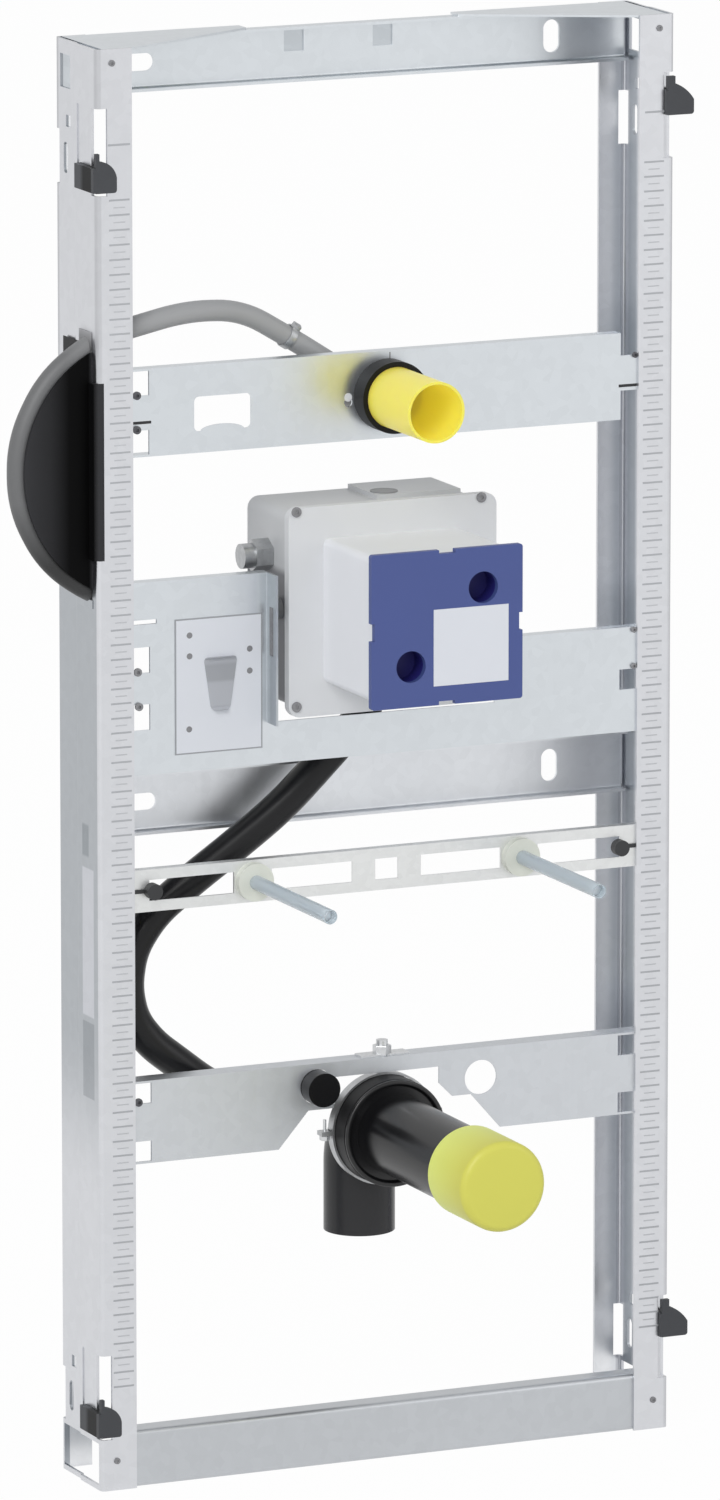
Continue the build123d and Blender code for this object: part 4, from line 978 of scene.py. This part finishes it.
# The grommet darkens towards its bottom: painted shade.
grommet_shaded_grey = finish("grommet_shaded_grey", moulded_grain, (0.40, 0.40, 0.41), 700.0, 0.2, 0.6, 0.1)
graded(grommet_shaded_grey, "Z", 782 * MM, 793 * MM, [(0.0, grey(0.25)), (1.0, grey(1))])


def web_pad(name, y_range, z_range, slot, material):
    """A thin pad with rounded edges on the outer face of the left post, by limits in millimetres."""
    low = (TAB_FACE, y_range[0] * MM, z_range[0] * MM)
    high = (WEB_FACE, y_range[1] * MM, z_range[1] * MM)
    pad = block_between(name, low, high)
    apply_modifier(pad, "BEVEL", width=TAB_ROUND, segments=2, limit_method="ANGLE")
    return settle(pad, slot, material)


# The tab also stands in for the shade inside the hose slot: painted shade.
web_pad("guide_tab_slot_shade", (18, 46), (762, 784), "clip_black", finishes["black_rubber"])
web_pad("hose_grommet", (-1.5, 19), (764, 793), "clip_black", grommet_shaded_grey)
web_pad("slot_sill", (-1.5, 19), (606, 612), "galvanised_steel", left_steel)
print("lip slit 1, pads 3")

# %% [markdown]
# ## Plates with print
# The valve plate carries a thin printed card with a frame line, a tapered handset shape and a few
# round marks. The blue cover has a plain pale card.

# %% Cards
card_white = finish("card_white", moulded_grain, (0.79, 0.81, 0.855), 1500.0, 0.04, 0.5, 0.05)
card_line = finish("card_line", moulded_grain, (0.36, 0.37, 0.39), 900.0, 0.10, 0.5, 0.05)
label_white = finish("label_white", moulded_grain, (0.80, 0.82, 0.87), 1500.0, 0.03, 0.5, 0.05)
handset_grey = finish("handset_grey", moulded_grain, (0.50, 0.515, 0.55), 900.0, 0.25, 0.5, 0.10)
CARD = 0.35 * MM


def card(name, x_range, z_range, y_seat, border, paper, line):
    """A thin card on a front-facing seat, whose edge is a printed line."""
    low = (x_range[0], y_seat - CARD, z_range[0])
    high = (x_range[1], y_seat, z_range[1])
    sheet = block_between(name, low, high)
    sheet.data.materials.append(line)
    sheet.data.materials.append(paper)
    bpy.ops.object.mode_set(mode="EDIT")
    pick_faces(sheet, faces_front)
    bpy.ops.mesh.inset(thickness=border, depth=PRESSED)
    sheet.active_material_index = 1
    bpy.ops.object.material_slot_assign()
    bpy.ops.object.mode_set(mode="OBJECT")
    return settle(sheet, "galvanised_steel")


VALVE_CARD_X = (-156 * MM, -92 * MM)
VALVE_CARD_Z = (503 * MM, 595.5 * MM)
card("valve_card", VALVE_CARD_X, VALVE_CARD_Z, plate_face, 1.0 * MM, card_white, card_line)
cover_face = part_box("box_cover")[0].y
COVER_CARD_X = (-10 * MM, 45 * MM)
COVER_CARD_Z = (555.5 * MM, 607.5 * MM)
cover_card = card("cover_card", COVER_CARD_X, COVER_CARD_Z, cover_face, 0.4 * MM, label_white, label_white)
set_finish(cover_card, "box_grey")
print("cards", 2)

# %% Handset print and marks
HANDSET_LOW = 531.5 * MM
HANDSET_HIGH = 568 * MM
HANDSET_MIDDLE = -122.8 * MM
HANDSET_TAPER = 0.56
HANDSET_ROUND = 3 * MM
HANDSET_STOPS = [
    (0.0, grey(1)),
    (1.0, grey(0.9)),
    (0.50, grey(0.95)),
    (0.56, grey(0.75)),
    (0.82, grey(0.75)),
    (0.88, grey(0.9)),
]
handset = block_between(
    "card_handset",
    (-135 * MM, plate_face - 0.9 * MM, HANDSET_LOW),
    (-110.5 * MM, plate_face - CARD, HANDSET_HIGH),
)
bpy.ops.object.mode_set(mode="EDIT")
pick_faces(handset, lambda face: face.normal.z < -FACING)
lower_middle = (HANDSET_MIDDLE, plate_face, HANDSET_LOW)
bpy.ops.transform.resize(value=(HANDSET_TAPER, 1, 1), center_override=lower_middle)
pick_faces(handset, lambda face: abs(face.normal.z) > 0.5)
bpy.ops.mesh.bevel(offset=HANDSET_ROUND, segments=3, affect="EDGES")
bpy.ops.object.mode_set(mode="OBJECT")
graded(handset_grey, "Z", 531 * MM, 569 * MM, HANDSET_STOPS)
settle(handset, "box_grey", handset_grey)

DOT = 2.1 * MM
DOT_RISE = 0.15 * MM
DOT_X = -145.3 * MM
DOT_Z = 584 * MM
DOT_RIM = 0.5 * MM
DOT_CROWN = 0.03 * MM
dot = disc_facing_front("card_dot_1", DOT_X, plate_face - CARD - DOT_RISE, DOT_Z, DOT, DOT_RISE, 16)
inset_faces(dot, faces_front, DOT_RIM, DOT_CROWN)
settle(dot, "clip_black", grey_screw)
DOT_SHIFTS = ((0, -14.2), (44, -12.4), (44, -27.4), (-0.4, -64.0))
for number, (along, up) in enumerate(DOT_SHIFTS, start=2):
    copied(dot, f"card_dot_{number}", (along * MM, 0, up * MM))
print("marks", 2 + len(DOT_SHIFTS))

# %% [markdown]
# ## Finger cups of the blue cover
# Two round holes let a fitter pull the cover off. Behind each is a moulded cup, so that no dirt
# reaches the valve. A cylinder's front is inset and pushed back, which leaves a wall and a bottom.

# %% Finger cups
cup_blue = finish("cup_blue", moulded_grain, (0.018, 0.016, 0.17), 1200.0, 0.10, 0.55, 0.10)
CUP_OUTER = 12.2 * MM
CUP_WALL = 1.2 * MM
CUP_DEPTH = 15 * MM
COVER_PLATE = 4.5 * MM
CUP_X = -26.5 * MM
CUP_Z = 570 * MM
CUP_SHIFT = (53 * MM, 0, 50 * MM)
cup = disc_facing_front("finger_cup_left", CUP_X, cover_face + COVER_PLATE, CUP_Z, CUP_OUTER, CUP_DEPTH, 48)
bpy.ops.object.mode_set(mode="EDIT")
pick_faces(cup, faces_front)
bpy.ops.mesh.inset(thickness=CUP_WALL)
bpy.ops.mesh.extrude_region_move(TRANSFORM_OT_translate={"value": (0, CUP_DEPTH - CUP_WALL, 0)})
bpy.ops.object.mode_set(mode="OBJECT")
bpy.ops.object.shade_smooth_by_angle(angle=SMOOTH_ANGLE)
settle(cup, "cover_blue", cup_blue)
copied(cup, "finger_cup_right", CUP_SHIFT)
print("finger cups", 2)

# %% [markdown]
# ## Clamp on the flush hose
# A band clamp holds the grey hose on the bend. An open ring is turned to the hose, given a wall by
# Solidify, and a group of its faces is pulled out for the pinched ears.

# %% Hose clamp
CLAMP_PLACE = Vector((-61.5, 17.4, 777.0)) * MM
CLAMP_AXIS = Vector((-0.848, -0.037, 0.528))
CLAMP_INNER = 7.5 * MM
CLAMP_WALL = 0.9 * MM
CLAMP_WIDTH = 5.5 * MM
clamp_zinc = finish("clamp_zinc", zinc_sheet, (0.42, 0.43, 0.44), 420.0, 0.12, 0.38, 0.08, Metallic=0.9)
start_fresh()
bpy.ops.mesh.primitive_cylinder_add(
    vertices=48,
    radius=CLAMP_INNER,
    depth=CLAMP_WIDTH,
    end_fill_type="NOTHING",
    location=CLAMP_PLACE,
    rotation=CLAMP_AXIS.to_track_quat("Z", "Y").to_euler(),
)
hose_clamp = bpy.context.object
hose_clamp.name = "hose_clamp"
bpy.ops.object.transform_apply(location=True, rotation=True, scale=True)
apply_modifier(hose_clamp, "SOLIDIFY", thickness=CLAMP_WALL, offset=1.0)
ear_way = Vector((0.45, -0.45, 0.77)).normalized()
EAR_RISE = 3 * MM
EAR_NARROWNESS = 0.94
CLAMP_ROUND = 0.25 * MM


def is_ear(face):
    """True for the few outer faces of the band that look along the ear's direction."""
    out = (face.calc_center_median() - CLAMP_PLACE).dot(ear_way)
    return face.normal.dot(ear_way) > EAR_NARROWNESS and out > CLAMP_INNER


bpy.ops.object.mode_set(mode="EDIT")
pick_faces(hose_clamp, is_ear)
bpy.ops.mesh.extrude_region_move(TRANSFORM_OT_translate={"value": ear_way * EAR_RISE})
bpy.ops.object.mode_set(mode="OBJECT")
apply_modifier(hose_clamp, "BEVEL", width=CLAMP_ROUND, segments=2, limit_method="ANGLE")
bpy.ops.object.shade_smooth_by_angle(angle=SMOOTH_ANGLE)
settle(hose_clamp, "zinc_fastener", clamp_zinc)
print("hose clamp", len(hose_clamp.data.polygons), "faces")

# %% [markdown]
# ## Nuts and bolts of the drain
# A nut holds the hanger on the bracket, and two bolts close the band clamp round the collar. Each
# starts as a six-sided prism whose rim is bevelled, and the shank is an inset that is pulled up.

# %% Nuts and bolts
PRISM_ROUND = 0.5 * MM
SHANK_INSET = 0.45


def prism(name, x, y, z_range, radius):
    """A six-sided prism that stands upright, with bevelled rims."""
    start_fresh()
    bpy.ops.mesh.primitive_cylinder_add(
        vertices=6,
        radius=radius,
        depth=z_range[1] - z_range[0],
        location=(x, y, (z_range[0] + z_range[1]) / 2),
    )
    piece = bpy.context.object
    piece.name = name
    piece.data.name = name
    bpy.ops.object.transform_apply(location=True, rotation=True, scale=True)
    bpy.ops.object.mode_set(mode="EDIT")
    pick_faces(piece, lambda face: abs(face.normal.z) > FACING)
    bpy.ops.mesh.bevel(offset=PRISM_ROUND, segments=2, affect="EDGES")
    bpy.ops.object.mode_set(mode="OBJECT")
    return piece


def clamp_bolt(name, x):
    """A bolt with its head under the ear of the clamp and its shank standing over it."""
    head_top = clamp_middle.z - EAR_HALF
    bolt = prism(name, x, clamp_middle.y, (head_top - BOLT_HEAD, head_top), BOLT_RADIUS)
    bpy.ops.object.mode_set(mode="EDIT")
    pick_faces(bolt, lambda face: face.normal.z > FACING and face.calc_area() > BOLT_RADIUS**2)
    bpy.ops.mesh.inset(thickness=SHANK_INSET * BOLT_RADIUS)
    bpy.ops.mesh.extrude_region_move(TRANSFORM_OT_translate={"value": (0, 0, BOLT_SHANK)})
    bpy.ops.object.mode_set(mode="OBJECT")
    return settle(bolt, "zinc_fastener", finishes["zinc_fastener"])


bracket_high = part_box("drain_bracket")[1]
hanger_low, hanger_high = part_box("drain_hanger")
hanger_y = (hanger_low.y + hanger_high.y) / 2
NUT_HEIGHT = 7 * MM
NUT_RADIUS = 6.4 * MM
hanger_nut = prism("hanger_nut", 0, hanger_y, (bracket_high.z, bracket_high.z + NUT_HEIGHT), NUT_RADIUS)
settle(hanger_nut, "zinc_fastener", finishes["zinc_fastener"])
clamp_low, clamp_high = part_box("drain_clamp")
clamp_middle = (clamp_low + clamp_high) / 2
EAR_HALF = 1.6 * MM
BOLT_HEAD = 3.4 * MM
BOLT_RADIUS = 3.6 * MM
BOLT_SHANK = 11 * MM
BOLT_X = clamp_high.x - 3.8 * MM
clamp_bolt("clamp_bolt_left", -BOLT_X)
clamp_bolt("clamp_bolt_right", BOLT_X)
print("nut on", round(bracket_high.z, 4), "clamp middle", [round(side, 4) for side in clamp_middle])

# %% [markdown]
# ## Lip of the drain collar
# The rubber collar ends in a rounded lip, and the pipe goes into it with a dark gap round it. A short
# cylinder's front is inset and pushed back, and a bevel rounds the rim.

# %% Collar lip
lip_black = finish(
    "lip_black", moulded_grain, (0.012, 0.012, 0.013), 700.0, 0.15, 0.24, 0.06, Specular_IOR_Level=0.5
)
collar_low, collar_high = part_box("drain_collar")
collar_middle = (collar_low + collar_high) / 2
LIP_RISE = 3.4 * MM
LIP_WALL = 3.6 * MM
LIP_BOTTOM = 0.1 * MM
LIP_ROUND = 1.2 * MM
LIP_ANGLE = radians(40)
LIP_OUTER = (collar_high.x - collar_low.x) / 2 - 0.1 * MM
lip = disc_facing_front(
    "collar_lip", collar_middle.x, collar_low.y - LIP_RISE, collar_middle.z, LIP_OUTER, LIP_RISE, 72
)
bpy.ops.object.mode_set(mode="EDIT")
pick_faces(lip, faces_front)
bpy.ops.mesh.inset(thickness=LIP_WALL)
bpy.ops.mesh.extrude_region_move(TRANSFORM_OT_translate={"value": (0, LIP_RISE - LIP_BOTTOM, 0)})
bpy.ops.object.mode_set(mode="OBJECT")
apply_modifier(lip, "BEVEL", width=LIP_ROUND, segments=3, limit_method="ANGLE")
bpy.ops.object.shade_smooth_by_angle(angle=LIP_ANGLE)
settle(lip, "black_rubber", lip_black)
print("collar lip from", round(collar_low.y - LIP_RISE, 4), "to", round(collar_low.y, 4))

# %% [markdown]
# ## Drain cap
# The yellow cap is a thin moulded cup with a well rounded front. The drawing's cap has a sharp edge,
# so a cup of the same size takes its place: a cylinder is hollowed from behind by an inset and an
# extrusion, and the front rim gets a wide bevel.

# %% Drain cap
CAP_WALL = 2.5 * MM
CAP_ROUND = 5 * MM
cap_middle = (cap_low + cap_high) / 2
cap_radius = (cap_high.x - cap_low.x) / 2
cap_length = cap_high.y - cap_low.y
cap = disc_facing_front("round_cap", cap_middle.x, cap_low.y, cap_middle.z, cap_radius, cap_length, 96)
bpy.ops.object.mode_set(mode="EDIT")
pick_faces(cap, faces_front)
bpy.ops.mesh.bevel(offset=CAP_ROUND, segments=7, affect="EDGES")
pick_faces(cap, lambda face: face.normal.y > FACING)
bpy.ops.mesh.inset(thickness=CAP_WALL)
bpy.ops.mesh.extrude_region_move(TRANSFORM_OT_translate={"value": (0, CAP_ROUND - cap_length, 0)})
bpy.ops.object.mode_set(mode="OBJECT")
bpy.ops.object.shade_smooth_by_angle(angle=SMOOTH_ANGLE)
settle(cap, "site_yellow", cap_yellow)
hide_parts("drain_cap")
print("cap radius", round(cap_radius, 4), "length", round(cap_length, 4))

# %% [markdown]
# ## Knock-out on the hatch
# The hatch on the box has a round knock-out for a cable. A flat disc gets a groove round its middle
# by two insets.

# %% Knock-out
knock_dark = finish("knock_dark", moulded_grain, (0.30, 0.305, 0.31), 900.0, 0.1, 0.5, 0.1)
KNOCK_X = 11.5 * MM
KNOCK_Y = 22 * MM
KNOCK = 9.5 * MM
KNOCK_RISE = 0.6 * MM
KNOCK_RIM = 1.2 * MM
GROOVE_WIDTH = 1.0 * MM
GROOVE_SINK = -0.4 * MM
GROOVE_RISE = 0.3 * MM
hatch_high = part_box("control_box")[1].z
start_fresh()
bpy.ops.mesh.primitive_cylinder_add(
    vertices=40, radius=KNOCK, depth=KNOCK_RISE, location=(KNOCK_X, KNOCK_Y, hatch_high + KNOCK_RISE / 2)
)
knock_out = bpy.context.object
knock_out.name = "hatch_knock_out"
bpy.ops.object.transform_apply(location=True, rotation=True, scale=True)
bpy.ops.object.mode_set(mode="EDIT")
pick_faces(knock_out, lambda face: face.normal.z > FACING)
bpy.ops.mesh.inset(thickness=KNOCK_RIM, depth=GROOVE_SINK)
bpy.ops.mesh.inset(thickness=GROOVE_WIDTH, depth=GROOVE_RISE)
bpy.ops.object.mode_set(mode="OBJECT")
settle(knock_out, "box_grey", knock_dark)
print("knock-out on", round(hatch_high, 4))
